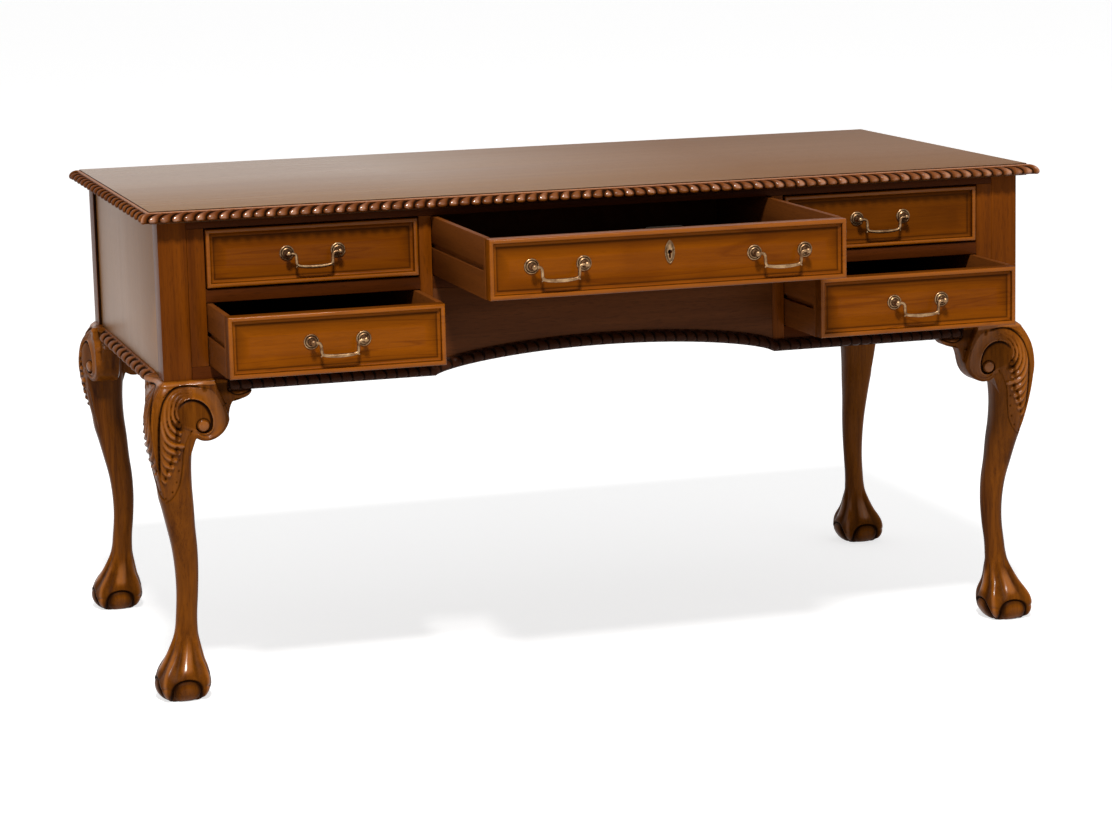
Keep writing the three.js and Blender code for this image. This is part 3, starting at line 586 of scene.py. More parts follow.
def knee_relief(inward, height):
    """How far the carving of a knee stands out from its plain form, in mm, and how dark each place is
    painted: patina and painted shade, with painted highlights below zero.
    """
    outer_line, inner_line, edge_line = drawn(BAND_OUTER), drawn(BAND_INNER), drawn(FIELD_EDGE)
    outer, _ = off_line(outer_line, inward, height)
    inner, along = off_line(inner_line, inward, height)
    in_scroll = within(outer_line, inward, height)
    in_moon = within(inner_line, inward, height)
    band = in_scroll * (1 - in_moon)
    right = ease(-14, 8, inward)
    radius = np.hypot(inward - EYE[0], height - EYE[1])
    off_eye = radius > EYE_RADIUS

    # The leaf is the highest of its lobes, each round across
    leaf = np.full(inward.shape, NO_LEAF)
    for line, width, tip in LEAF_LOBES + EAR_LOBES:
        across, run = off_line(drawn(line), inward, height)
        wide = width * (0.55 + 0.5 * ease(0.0, 0.35, run) + 0.25 * ease(0.7, 1.0, run))
        crown = (0.5 + (tip - 0.5) * ease(0.05, 1.0, run) ** 0.8) * ease(0, 0.1, run)
        round_top = np.sqrt(np.clip(1 - (across / wide) ** 2, 0, 1))
        leaf = np.maximum(leaf, np.where(across < wide, crown * round_top - 1.3 * (1 - round_top), NO_LEAF))
    on_leaf = leaf > NO_LEAF
    leaf_zone = ease(9, 4, np.abs(outer) * (1 - in_scroll)) * ease(-18, -24, inward)

    # The scroll's band is scooped out between two lips, about a sunk field and a round eye
    ground = within(np.vstack([edge_line, FIELD_BACK]), inward, height)
    scoop = -SCOOP_DEPTH * np.sin(np.pi * outer / (outer + inner + 1e-6)) ** 2 * right
    inner_lip = bump((inner - 1.2) / 1.3) * ease(0.12, 0.25, along)
    lips = OUTER_LIP * bump((outer - 1.4) / 1.2) * right + INNER_LIP * inner_lip
    border = (1 - in_scroll) * (1 - ground) * ease(495, 488, height) * ease(-56, -62, inward)
    top_border = (1 - in_scroll) * ease(485, 492, height) * ease(40, 30, inward)
    moon = in_moon * (-1.4 + 1.2 * ease(14, -20, inward))
    eye = (EYE_HEIGHT + 1) * np.sqrt(np.clip(1 - (radius / EYE_RADIUS) ** 2, 0, 1)) - 1
    plain = band * scoop + lips * (band + in_moon > 0) + moon - FIELD_DEPTH * ground
    plain = plain + BORDER * np.maximum(border, top_border)
    beside_leaf = plain - LEAF_SHADOW * leaf_zone * band
    relief = np.where(on_leaf & (in_moon < 0.5), np.maximum(leaf, plain - 2.5), beside_leaf)
    relief = np.where(off_eye, relief, np.maximum(relief, eye))

    # Grooves, drilled holes and gaps
    groove, run = off_line(drawn(OUTER_GROOVE), inward, height)
    edge, _ = off_line(edge_line, inward, height)
    ear, _ = off_line(drawn(EAR_GROOVE), inward, height)
    moon_wide = 1.4 + 1.6 * bump((along - 0.45) / 0.2)
    inner_cut = INNER_CUT * bump((inner - 1.2) / moon_wide) * in_moon * ease(0.1, 0.24, along)
    eye_cut = EYE_CUT * bump((radius - EYE_RADIUS - 0.8) / 1.3) * (1 - 0.55 * ease(436, 448, height))
    holes = sum(bump(np.hypot(inward - a, height - b) / 1.2) for a, b in DRILLED)
    gaps = sum(bump(np.hypot(inward - a, (height - b) * 0.6) / wide) for (a, b), wide in LEAF_GAPS)
    reeds = sum(bump((inward - a) / 0.8) for a in HEM_REEDS) * ease(330, 380, height) * ease(503, 495, height)
    cuts = (
        OUTER_CUT * bump(groove / 1.5) * ease(0.0, 0.08, run) * ease(1.0, 0.93, run)
        + (inner_cut + eye_cut) * off_eye + (EDGE_CUT * bump(edge) + DRILL_DEPTH * holes) * (1 - on_leaf)
        + REED * reeds + GAP_DEPTH * gaps + EAR_CUT * bump(ear)
    )

    # Cuts dark with patina and painted shade, painted shade under the leaf and in the moon, darker to its
    # top; painted highlights on crowns, band and eye
    fade = ease(508, 505, height) * ease(300, 314, height)
    between = ease(0.2, -1.4, relief) * 0.7 * leaf_zone * (1 - right)
    hollow = np.clip(cuts / 2.4 + between * (band + ground > 0), 0, 1)
    hollow = hollow + in_moon * off_eye * (0.14 + 0.12 * ease(455, 480, height))
    pale = 0.05 * ground + 0.4 * ease(1.0, 2.6, relief) * on_leaf + 0.2 * band * right
    pale = pale + 0.25 * inner_lip * band + 0.4 * (radius < EYE_RADIUS - 2)
    # A painted highlight along the top of the knee
    strip = 0.4 * ease(504.5, 506.5, height) * ease(LEG_TOP, LEG_TOP - 2, height)
    return (relief - cuts) * fade, (hollow - pale * (hollow < 0.06)) * fade - strip


def leg_section(height):
    rows = np.array(LEG_ROWS)
    return [flowing(rows[:, 0], rows[:, k], height) for k in (1, 2, 3)]


def foot_relief(turn, height, radius):
    """Four claws at the corners of the foot over a ball that shows between them."""
    face = (turn + math.pi / 4) % (math.pi / 2) - math.pi / 4
    corner = (math.pi / 4 - np.abs(face)) * radius
    rise = ease(104, 70, height)
    claw = CLAW * bump(corner / 6.2) * rise * (0.75 + 0.35 * np.cos(height / 24 * math.pi))
    flute = FLUTE * bump((np.abs(face) - 0.42) / 0.15) * ease(112, 84, height) * ease(28, 46, height)
    across = radius * np.sin(face) / BALL_HALF
    above = height - BALL_MIDDLE
    above = above / np.where(above > 0, BALL_UPPER, BALL_LOWER)
    arch = (np.abs(across) ** BALL_POWER + np.abs(above) ** BALL_POWER) ** (1 / BALL_POWER)
    rim = bump((arch - 1) / 0.065)
    dome = (2.8 * np.clip(1 - arch ** 2, 0, 1) - 2.2) * ease(1.02, 0.92, arch)
    nail = NAIL_CUT * bump((height - 23) / 2.4) * bump(corner / 8)
    toe = TOE_CUT * bump((corner - 9) / 2.2) * ease(24, 14, height)
    ridge = RIDGE * bump(face / 0.2) * ease(38, 52, height) * ease(106, 80, height)
    # Dark in the rim round the ball and in the flutes: patina and painted shade
    hollow = np.clip(rim + 0.25 * bump((np.abs(face) - 0.42) / 0.12) * rise, 0, 1)
    # Painted shade inside the ball's rim and a painted highlight on its middle, to make the ball look round
    hollow = hollow + 0.3 * bump((arch - 0.84) / 0.1) * (arch < 1) - 0.3 * ease(0.75, 0.4, arch)
    # A painted highlight down the middle of each face and along the claws, laid only out of the grooves
    lit = bump(face / 0.3) * ease(40, 55, height) * ease(100, 70, height) + 0.8 * bump(corner / 4) * rise
    pale_crowns = hollow < 0.1
    # Darker below about 104 mm, except under the painted highlight
    hollow = hollow + 0.26 * (1 - np.clip(1.4 * lit, 0, 1)) * ease(104, 80, height)
    relief = claw - flute - RIM_CUT * rim + dome - nail - toe + ridge
    return relief, (hollow - 0.5 * lit * pale_crowns) * ease(112, 60, height)


def leg_surface(u, v):
    """The left front leg: height in mm over v, turned round over u, starting at its outer corner."""
    height = np.interp(v, [0, FOOT_ROW_SHARE, SHIN_ROW_SHARE, 1], [0, FOOT_TOP, SHIN_TOP, LEG_TOP])
    reach, half, square = leg_section(height)
    shift = SHIFT * ease(LEG_TOP, KNEE_TOP, height)
    turn = u * 2 * math.pi - 3 * math.pi / 4
    c, w = np.cos(turn), np.sin(turn)
    radius = half * (np.abs(c) ** square + np.abs(w) ** square) ** (-1 / square)
    foot, foot_patina_and_shade = foot_relief(turn, height, radius)
    radius = radius + foot * ease(FOOT_TOP, FOOT_TOP - 12, height)
    x = radius * c - shift - reach
    y = radius * w + shift - reach
    # The outer half of the leg faces the front where u is under a half, and the side where it is over
    carved, carved_patina_and_shade = knee_relief(np.where(u <= 0.5, x, y) - POST_HALF, height)
    from_corner = np.minimum(u, 1 - u) * 2 * math.pi
    reachable = ease(math.pi / 2 + 0.02, math.pi / 2 - 0.12, from_corner) * ease(0.0, 0.05, from_corner)
    out = (carved - GROUND * ease(508, 503, height) * ease(318, 350, height)) * reachable
    normal = [np.abs(k) ** (square - 1) * np.sign(k) for k in (c, w)]
    length = np.hypot(*normal)
    place = [x + out * normal[0] / length, y + out * normal[1] / length, height]
    return np.column_stack(place) * MM, foot_patina_and_shade + carved_patina_and_shade * reachable


def knee_face(inward, height, shift):
    """How far the plain face of knee and bracket stands before the carcase, in mm."""
    reach, half, square = leg_section(height)
    shift = shift * ease(LEG_TOP, KNEE_TOP, height)

    def leg(place):
        share = np.clip((place + POST_HALF + shift + reach) / half, -0.999, 0.999)
        return half * (1 - np.abs(share) ** square) ** (1 / square) - POST_HALF - shift + reach

    start, stop = KNEE_FLOW
    slope = leg(start + 0.5) - leg(start - 0.5)
    t = np.clip((inward - start) / (stop - start), 0, 1)
    flow = curve(t, leg(start), BRACKET_PROUD + GROUND, (stop - start) * slope)
    return np.where(inward < start, leg(inward), flow)


# Outline of a bracket, as (inwards, height) in mm, and the middle that its grid spreads from
BRACKET_OUTLINE = (
    (-29, 511.7), (0, 511.7), (34, 511.7), (46, 511), (53.5, 508), (54, 500), (54.4, 492.3), (58, 491.3),
    (75, 491.3), (91, 491.3), (92.3, 488.5), (89, 483.5), (83, 479.8), (77, 478.5), (70, 478.5), (65, 477),
    (61, 473), (58, 467), (56, 460), (54.5, 452), (52.3, 443), (48.5, 435), (43, 427.8), (36, 422),
    (28, 417.8), (19, 415.6), (10, 416.2), (3.5, 419), (0.5, 420.5), (-2, 416), (-5, 407), (-8, 399),
    (-11, 393), (-17, 398), (-24, 415), (-28, 440), (-29, 470),
)
BRACKET_MIDDLE = (14.0, 462.0)
BRACKET_BACK, BRACKET_PROUD = -26, 16
# How far a leg's middle stands aside of its post's, and where its knee flows into the bracket
SHIFT = 4
KNEE_FLOW = (-21.0, 44.0)
RIM_ROUND = 3.2
FACE_SHARE, WALL_SHARE = 0.84, 0.92


def bracket_surface(u, v, shift):
    """A knee bracket: its carved face spreads from its middle to the outline, and its back returns there."""
    rim = drawn(BRACKET_OUTLINE + BRACKET_OUTLINE[:1], 8)
    rim_at, length = traced(rim)
    spread = np.where(v < WALL_SHARE, np.minimum(v / FACE_SHARE, 1), (1 - v) / (1 - WALL_SHARE))
    rim_place = rim_at(u * length)
    inward, height = (middle + (far - middle) * spread for middle, far in zip(BRACKET_MIDDLE, rim_place))
    to_rim, _ = off_line(rim, inward, height)
    carved, hollow = knee_relief(inward, height)
    edge = np.interp(height, *np.array(sorted((h, a) for a, h in FACE_EDGE)).T)
    set_back = 10.5 * ease(-0.6, 1.6, inward - edge) * ease(446, 456, height)
    right = ease(-10, -2, inward) * ease(509, 503, height)
    from_edge = 1 - np.minimum(to_rim, RIM_ROUND) / RIM_ROUND
    rounding = RIM_ROUND * (1 - np.sqrt(np.clip(1 - from_edge ** 2, 0, 1))) * right
    sunk = 1.8 * ease(-20, -28, inward) + 0.9 * ease(428, 414, height) * ease(6, -4, inward) - 0.25
    ground = GROUND * ease(508, 503, height)
    front = knee_face(inward, height, shift) + carved * (1 - 0.6 * ease(0, 8, set_back)) - ground
    front = front - set_back - rounding - sunk
    back = BRACKET_BACK + (-4.7 - BRACKET_BACK) * ease(490.5, 491.8, height)
    to_back = np.clip((v - FACE_SHARE) / (WALL_SHARE - FACE_SHARE), 0, 1)
    out = front + (back - front) * to_back
    in_shade = 0.6 * ease(0, 8, set_back) * ease(484, 494, height)
    return np.column_stack([inward, out, height]) * MM, (hollow + in_shade) * (1 - to_back)


def corner_matrices(side, end):
    """Take the left front leg, and the brackets before and beside a leg, to a corner of the desk."""
    turns = (
        ((-side, 0), (0, -end), HALF_WIDTH - POST_WIDTH / 2, DEPTH / 2 - POST_WIDTH / 2),
        ((-side, 0), (0, end), POST_INNER, DEPTH / 2),
        ((0, side), (-end, 0), HALF_WIDTH, DEPTH / 2 - POST_WIDTH),
    )
    return [
        Matrix(((*across, 0, side * x), (*deep, 0, MIDDLE_Y + end * y), (0, 0, 1, 0), (0, 0, 0, 1)))
        for across, deep, x, y in turns
    ]


class DESK_OT_legs(bpy.types.Operator):
    """Carve one cabriole leg with its claw foot, and set it at the four corners under a square post"""
    bl_idname = "desk.legs"
    bl_label = "Legs"

    def execute(self, context):
        leg = laid("leg_body", 176, 270, leg_surface)
        half = POST_WIDTH / 2
        post = block("post_body", (-half, -half, LEDGE - 4 * MM), (half, half, UNDERSIDE - JOINT_GAP))
        rub_down(post, context.scene.desk_sizes.post_round, 4)
        # Its face that turns towards the end panel is darkened: painted shade of the step beside the panel,
        # with a dark stain
        mark_patina_and_shade(post, places(post)[:, 1] > half - 0.01 * MM)
        for side, end, place in CORNERS:
            matrix, *_ = corner_matrices(side, end)
            finish(placed_copy(leg, f"leg_{place}_carved", matrix), "root", "carved", f"leg_{place}")
            finish(smoothed(placed_copy(post, f"post_{place}", matrix)), "root", "upright", f"leg_{place}")
        discard(leg, post)
        return {"FINISHED"}


class DESK_OT_knee_brackets(bpy.types.Operator):
    """Carve one knee bracket and set it at both sides of each leg"""
    bl_idname = "desk.knee_brackets"
    bl_label = "Knee brackets"

    def execute(self, context):
        facing = laid("facing_body", 240, 70, lambda u, v: bracket_surface(u, v, SHIFT))
        sideways = laid("sideways_body", 240, 70, lambda u, v: bracket_surface(u, v, -SHIFT))
        for side, end, place in CORNERS:
            _, *matrices = corner_matrices(side, end)
            nodes = [f"knee_bracket_{place}", f"knee_bracket_{place.replace('front', 'side')}"]
            if end > 0:
                nodes = [f"leg_{place}"] * 2
            names = f"scroll_{place}", f"side_scroll_{place}"
            for body, name, matrix, node in zip((facing, sideways), names, matrices, nodes):
                finish(placed_copy(body, name, matrix), "root", "carved", node)
        discard(facing, sideways)
        return {"FINISHED"}


# Lobed mouldings

EDGE_SECTION = (
    (0, 1), (0.16, 1), (0.3, 0.985), (0.45, 0.945), (0.6, 0.88), (0.75, 0.775), (0.88, 0.635),
    (0.97, 0.47), (1, 0.31), (0.97, 0.15), (0.88, 0.04), (0.74, 0), (0.5, 0), (0.03, 0), (0, 0.03),
    (0, 0.97), (0, 1),
)
# The shares of the section that have a row of points, close together where the lobes are cut
EDGE_ROWS = np.r_[
    0, 0.03, 0.055, np.linspace(0.07, 0.145, 6), np.linspace(0.16, 0.52, 19), 0.545, 0.7, 0.74, 0.87,
    0.995, 1,
]
EDGE_LOBES = (0.065, 0.53)
EDGE_STEP = 1.4 * MM
# Each lobe of a pair: its middle, its half width and its height
PAIR = ((0.28, 0.262, 0.9), (0.775, 0.236, 1.0))
SIDE_PAIR = ((0.32, 0.31, 1.0), (0.81, 0.16, 0.45))
RIB = ((0.5, 0.4, 1.0),)
FRIEZE_SECTION = (
    (0, 1), (0.3, 1), (0.5, 0.95), (0.72, 0.82), (0.9, 0.64), (1, 0.42), (0.95, 0.22), (0.8, 0.08), (0.5, 0),
    (0.03, 0), (0, 0.03), (0, 0.97), (0, 1),
)
FRIEZE_LOBES = (0.06, 0.56)
LOBE_WIDEST = 0.6
SECTION_TALL = MOULDING_HEIGHT - JOINT_GAP
BACK_MOULDING = 17 * MM
ARCH_RISE, ARCH_POWER = 31 * MM, 0.7


def round_section(section, v):
    """A point of a moulding's closed section and its outward direction. v is the share of the way round."""
    at, length = traced(drawn(section, 6))
    ahead = at((v + 0.015) * length) - at((v - 0.015) * length)
    return at(v * length), np.array([-ahead[1], ahead[0]]) / (np.hypot(*ahead) + 1e-9)


def lobe_cut(run, v, curl, span, lobes):
    """Depth, from 0 to 1, cut round a row of lobes that curl over at the top.

    run counts the sets of lobes, and span is the part of the section that they cover.
    """
    start, stop = span
    share = np.clip((v - start) / (stop - start), 0, 1)
    rising = np.clip(share / LOBE_WIDEST, 0, 1)
    phase = (run - curl * (1 - (1 - rising) ** 2)) % 1.0
    closing = np.sqrt(np.clip(1 - ((share - LOBE_WIDEST) / 0.5) ** 2, 0, 1))
    full = np.where(share < LOBE_WIDEST, rising ** 0.4, closing)
    height = np.zeros(run.shape)
    for middle, half, tall in lobes:
        across = (phase - middle) / (half * (0.35 + 0.65 * full))
        height = np.maximum(height, tall * np.sqrt(np.clip(1 - across ** 2, 0, 1)))
    inside = ease(start - 0.02, start + 0.02, v) * ease(stop + 0.02, stop - 0.02, v)
    return (1 - height * (0.4 + 0.6 * full)) * inside


def edge_surface(side):
    """One length of the lobed edge of the top, mitred at its ends. side is 0 at the left, then goes round."""
    sizes = bpy.context.scene.desk_sizes
    low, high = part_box("top_board")
    bottom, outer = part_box("top_edge_moulding")
    half_x, half_y = high.x + JOINT_GAP, (high.y - low.y) / 2 + JOINT_GAP
    out, up, middle_y = outer.x - half_x, outer.z - bottom.z, (high.y + low.y) / 2
    dx, dy = ((-1, 0), (0, -1), (1, 0), (0, 1))[side]
    # The front and the back have shallower lobes than the ends, made brighter by a pale mark on their crowns,
    # partly wear and partly painted highlight, and a painted glint
    lobes, curl, length, deeper, pale_crowns, bright = (
        (SIDE_PAIR, 0.35, half_y, 1.5, 0, 0), (PAIR, 0.2, half_x, 1, 0.1, 0.45),
    )[side % 2]

    def surface(u, v):
        from_middle = 2 * u - 1
        # The front and the back curl outwards from their middle, the ends curl one way
        run = (np.abs(from_middle) if side % 2 else 1 + dx * from_middle) * length / sizes.lobe_pitch
        v = EDGE_ROWS[np.round(v * (len(EDGE_ROWS) - 1)).astype(int)]
        (section_out, section_up), (normal_out, normal_up) = round_section(EDGE_SECTION, v)
        depth = lobe_cut(run, v, curl, EDGE_LOBES, lobes) * ease(1.0, 0.994, np.abs(from_middle))
        cut = depth * sizes.lobe_depth * deeper
        o = np.minimum(section_out * out - normal_out * cut, out)
        z = np.minimum(bottom.z + section_up * (up - EDGE_STEP) - normal_up * cut, outer.z)
        x = (dx - dy * from_middle) * (half_x + o)
        y = middle_y + (dy + dx * from_middle) * (half_y + o)
        # Pale on the lobes' crowns, partly wear and partly painted highlight, and a painted glint part way
        # down each lobe
        crown = pale_crowns * ease(0.35, 0.1, depth) * ease(0.05, 0.1, v) * ease(0.56, 0.5, v)
        crown = crown + bright * ease(0.16, 0.03, depth) * ease(0.13, 0.2, v) * ease(0.42, 0.34, v)
        flat = 0.5 * ease(EDGE_LOBES[0] + 0.01, EDGE_LOBES[0] - 0.01, v)
        # Darker down in the grooves, patina and painted shade, and darker on the flat strip above the lobes
        return np.column_stack([x, y, z]), ease(0.2, 0.75, depth) - crown - flat

    return surface


def arch_lift(x):
    share = np.clip(np.abs(x) / KNEEHOLE, 0, 1)
    return ARCH_RISE * (1 - share ** 2) ** ARCH_POWER


def lobed_rail(set_at, half_length, deep, pitch, lobes, curl=0.2, bow=0.0):
    """A lobed moulding between two ends. set_at takes the run, how far out and how high, as shares."""
    depth = bpy.context.scene.desk_sizes.lobe_depth
    start, stop = FRIEZE_LOBES

    def surface(u, v):
        # The first and the last columns draw in to close the two ends
        run = np.interp(u, [0, 0.001, 0.999, 1], [-half_length, -half_length, half_length, half_length])
        closing = (u > 0.0004) & (u < 0.9996)
        (section_out, section_up), normal = round_section(FRIEZE_SECTION, v)
        share = np.clip((v - start) / (stop - start), 0, 1)
        cut = lobe_cut(run / pitch + bow * (1 - (2 * share - 1) ** 2), v, curl, FRIEZE_LOBES, lobes)
        out = np.where(closing, section_out - normal[0] * cut * depth / deep, 0.4)
        up = np.where(closing, section_up - normal[1] * cut * depth / SECTION_TALL, 0.5)
        # Darker down in the cuts: patina and painted shade
        return set_at(run, out, up), ease(0.3, 0.85, cut)

    return surface


def carve(name, columns, rows, surface, look, node):
    """One length of lobed moulding on the carcase."""
    finish(laid(name, columns, rows, surface, 60), "root", look, node)


class DESK_OT_top(bpy.types.Operator):
    """Lay the top board and carve the lobed moulding round its edge"""
    bl_idname = "desk.top"
    bl_label = "Top"

    def execute(self, context):
        board = eased("top_board_polished", "top_board", context.scene.desk_sizes.board_round)
        high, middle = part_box("top_board")[1], middle_of("top_board")
        co = places(board)
        from_side = np.minimum(high.x - np.abs(co[:, 0]), high.y - middle.y - np.abs(co[:, 1] - middle.y))
        mark_patina_and_shade(board, from_side < 0.01 * MM)
        finish(board, "root", "top", "top_board")
        for side, name in enumerate(("left", "front", "right", "rear")):
            columns, look = ((1100, "side_edge"), (2000, "edge"))[side % 2]
            rows = len(EDGE_ROWS) - 1
            carve(f"top_lobes_{name}", columns, rows, edge_surface(side), look, "top_edge_moulding")
        return {"FINISHED"}


class DESK_OT_frieze_mouldings(bpy.types.Operator):
    """Carve the lobed mouldings under the front, the back and the two ends"""
    bl_idname = "desk.frieze_mouldings"
    bl_label = "Frieze mouldings"

    def execute(self, context):
        sizes = context.scene.desk_sizes
        low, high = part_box("front_bottom_moulding")
        front_deep, level = high.y - low.y, low.z
        panel_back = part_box("back_panel")[1].y - BACK_MOULDING

        def at_front(run, out, up):
            height = level + arch_lift(run) + up * SECTION_TALL
            return np.column_stack([run, high.y - out * front_deep, height])

        def at_back(run, out, up):
            return np.column_stack([-run, panel_back + out * BACK_MOULDING, level + up * SECTION_TALL])

        front = lobed_rail(at_front, high.x, front_deep, sizes.lobe_pitch, PAIR)
        carve("front_lobes", 1600, 24, front, "frieze", "front_bottom_moulding")
        back = lobed_rail(at_back, high.x, BACK_MOULDING, sizes.lobe_pitch, PAIR)
        carve("back_lobes", 1200, 20, back, "frieze", "back_panel")

        for way, side in ((-1, "left"), (1, "right")):
            node = f"side_bottom_moulding_{side}"
            near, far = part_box(node)
            inner = near.x if way > 0 else far.x
            middle_y, reach, deep = (near.y + far.y) / 2, (far.y - near.y) / 2, far.x - near.x

            def at_side(run, out, up, way=way, inner=inner, middle_y=middle_y, deep=deep, level=near.z):
                height = level + up * SECTION_TALL
                return np.column_stack([inner + way * out * deep, middle_y + way * run, height])

            ribs = lobed_rail(at_side, reach, deep, sizes.side_lobe_pitch, RIB, 0, -0.3 * way)
            carve(f"side_lobes_{side}", 800, 24, ribs, "side_edge", node)
        return {"FINISHED"}


# Boards

BOARDS = {
    "across": (
        "top_rail", "mid_rail_center", "mid_rail_left", "mid_rail_right", "bottom_rail_left",
        "bottom_rail_right",
    ),
    "upright": ("filler_stile_left", "filler_stile_right", "kneehole_stile_left", "kneehole_stile_right"),
    "apron": ("arched_apron",),
    "inside": ("partition_left", "partition_right"),
    "panel": ("end_panel_left", "end_panel_right"),
}


class DESK_OT_boards(bpy.types.Operator):
    """Set the rails, stiles, panels and partitions of the carcase, their edges rubbed down"""
    bl_idname = "desk.boards"
    bl_label = "Carcase boards"

    def execute(self, context):
        width = context.scene.desk_sizes.board_round
        for look, nodes in BOARDS.items():
            for node in nodes:
                finish(eased(f"{node}_board", node, width), "root", look, node)
        low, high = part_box("back_panel")
        panel = block("back_board", low, (high.x, high.y - BACK_MOULDING, high.z))
        rub_down(panel, width)
        finish(smoothed(panel), "root", "across", "back_panel")
        return {"FINISHED"}


# Drawers

BEAD_OUT = 1.6 * MM
FRONT_GAP = 0.9 * MM
QUIRK = 3.6 * MM
COVE_WIDTH = 5.5 * MM
COVE_STEPS = 6
FLAT_WIDTH = 3 * MM
BEAD_ROUND = 0.47
KEY_EYE, KEY_SLOT, KEY_DROP = 3.4 * MM, 1.7 * MM, 9.5 * MM


def key_cutter(name, front, back):
    """The keyhole as a solid: a round eye with a slot under it."""
    key = middle_of("escutcheon")
    clear_selection()
    bpy.ops.mesh.primitive_cylinder_add(
        vertices=32, radius=KEY_EYE, depth=back - front, location=(key.x, (front + back) / 2, key.z),
        rotation=(math.pi / 2, 0, 0),
    )
    eye = named(name)
    slot = block(f"{name}_slot", (key.x - KEY_SLOT, front, key.z - KEY_DROP), (key.x + KEY_SLOT, back, key.z))
    cut_with(eye, slot, "UNION")
    return eye


def cut_with(piece, tool, operation="DIFFERENCE"):
    use_modifier(piece, "BOOLEAN", object=tool, operation=operation, solver="EXACT")
    discard(tool)


def drawer_front(name, node):
    """A board with a round bead and a cove moulding about its sunk field, worked from a block."""
    sizes = bpy.context.scene.desk_sizes
    low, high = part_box(node)
    face_y = low.y - BEAD_OUT
    near = low.x + FRONT_GAP, face_y, low.z + FRONT_GAP
    front = block(name, near, (high.x - FRONT_GAP, high.y, high.z - FRONT_GAP))
    bpy.ops.object.mode_set(mode="EDIT")
    bpy.ops.mesh.select_mode(type="FACE")
    pick(front, "polygons", lambda face: face.normal.y < -0.9)
    bpy.ops.mesh.inset(thickness=sizes.bead_width)
    bpy.ops.mesh.inset(thickness=0.1 * MM)
    bpy.ops.transform.translate(value=(0, QUIRK, 0))
    turns = [math.pi / 2 * k / COVE_STEPS for k in range(COVE_STEPS + 1)]
    for start, stop in zip(turns, turns[1:]):
        bpy.ops.mesh.inset(thickness=COVE_WIDTH * (math.cos(start) - math.cos(stop)))
        sunk = (sizes.field_sunk - QUIRK) * (math.sin(stop) - math.sin(start))
        bpy.ops.transform.translate(value=(0, sunk, 0))
    bpy.ops.mesh.inset(thickness=FLAT_WIDTH)
    bpy.ops.mesh.inset(thickness=18 * MM)
    bpy.ops.mesh.select_mode(type="EDGE")

    def on_face(edge):
        start, stop = (front.data.vertices[v].co for v in edge.vertices)
        level = min(abs(start.x - stop.x), abs(start.z - stop.z)) < 1e-6
        return level and max(start.y, stop.y) < face_y + 1e-5

    pick(front, "edges", on_face)
    round_edge = sizes.bead_width * BEAD_ROUND
    bpy.ops.mesh.bevel(offset=round_edge, segments=6, profile=0.5)
    bpy.ops.object.mode_set(mode="OBJECT")

    # Painted shade in the quirk, the corner of the field and along the outer sides, and a painted shadow band
    # inside the field, darker under the top bead; a painted highlight along the bead's crown, weaker on its
    # upright sides
    x, y, z = places(front).T
    back = y - face_y
    to_side = np.minimum(x - low.x, high.x - x)
    inset = np.minimum(to_side, np.minimum(z - low.z, high.z - z)) - FRONT_GAP
    to_field = inset - sizes.bead_width - COVE_WIDTH
    at_field = back > sizes.field_sunk * 0.97
    edge = 0.3 * MM
    on_bead = (back < round_edge * 0.3) & (inset > edge) & (inset < sizes.bead_width - edge)
    marks = (
        ((np.abs(inset - sizes.bead_width) < 0.4 * MM) & (back > QUIRK * 0.9), 0.95),
        ((np.abs(to_field) < 0.8 * MM) & at_field, 0.65),
        ((np.abs(to_field - FLAT_WIDTH) < MM) & at_field, np.where(z > (low.z + high.z) / 2, 0.42, 0.16)),
        (on_bead, np.where(to_side < sizes.bead_width, -0.22, -0.6)),
        ((inset < 0.1 * MM) & (back > round_edge), 0.5),
    )
    # The upper right front is darker all over: painted shade of the top's overhang
    plain = 0.38 if node.endswith("upper_right") else 0
    mark_patina_and_shade(front, np.select(*zip(*marks), plain))
    return front


def pick(piece, kind, test):
    """Selects the parts of a mesh in edit mode that pass a test."""
    bpy.ops.mesh.select_all(action="DESELECT")
    bpy.ops.object.mode_set(mode="OBJECT")
    for part in getattr(piece.data, kind):
        part.select = bool(test(part))
    bpy.ops.object.mode_set(mode="EDIT")


class DESK_OT_drawer_fronts(bpy.types.Operator):
    """Work the five beaded drawer fronts, the middle one with its keyhole"""
    bl_idname = "desk.drawer_fronts"
    bl_label = "Drawer fronts"

    def execute(self, context):
        for place in DRAWERS:
            node = f"drawer_front_{place}"
            front = drawer_front(f"{place}_front", node)
            if place == "center":
                low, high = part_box(node)
                cut_with(front, key_cutter("key_way", low.y - 4 * MM, high.y + 4 * MM))
            finish(smoothed(front), f"{place}_drawer", "field", node)
        return {"FINISHED"}


class DESK_OT_drawer_boxes(bpy.types.Operator):
    """Set the five grooved drawer boxes, darker inside"""
    bl_idname = "desk.drawer_boxes"
    bl_label = "Drawer boxes"

    def execute(self, context):
        # What lies within the sides, before the back, over the bottom and under the rim is inside
        side, back, bottom, rim = 8.6 * MM, 11.6 * MM, 12.6 * MM, 2 * MM
        for place in DRAWERS:
            node = f"drawer_box_{place}"
            box = eased(f"{place}_box", node, context.scene.desk_sizes.box_round)
            low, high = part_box(node)
            x, y, z = places(box).T
            inside = (x > low.x + side) & (x < high.x - side) & (y < high.y - back)
            # Darker inside the box
            mark_patina_and_shade(box, 0.8 * (inside & (z > low.z + bottom) & (z < high.z - rim)))
            finish(box, f"{place}_drawer", "box", node)
        return {"FINISHED"}


# Handles

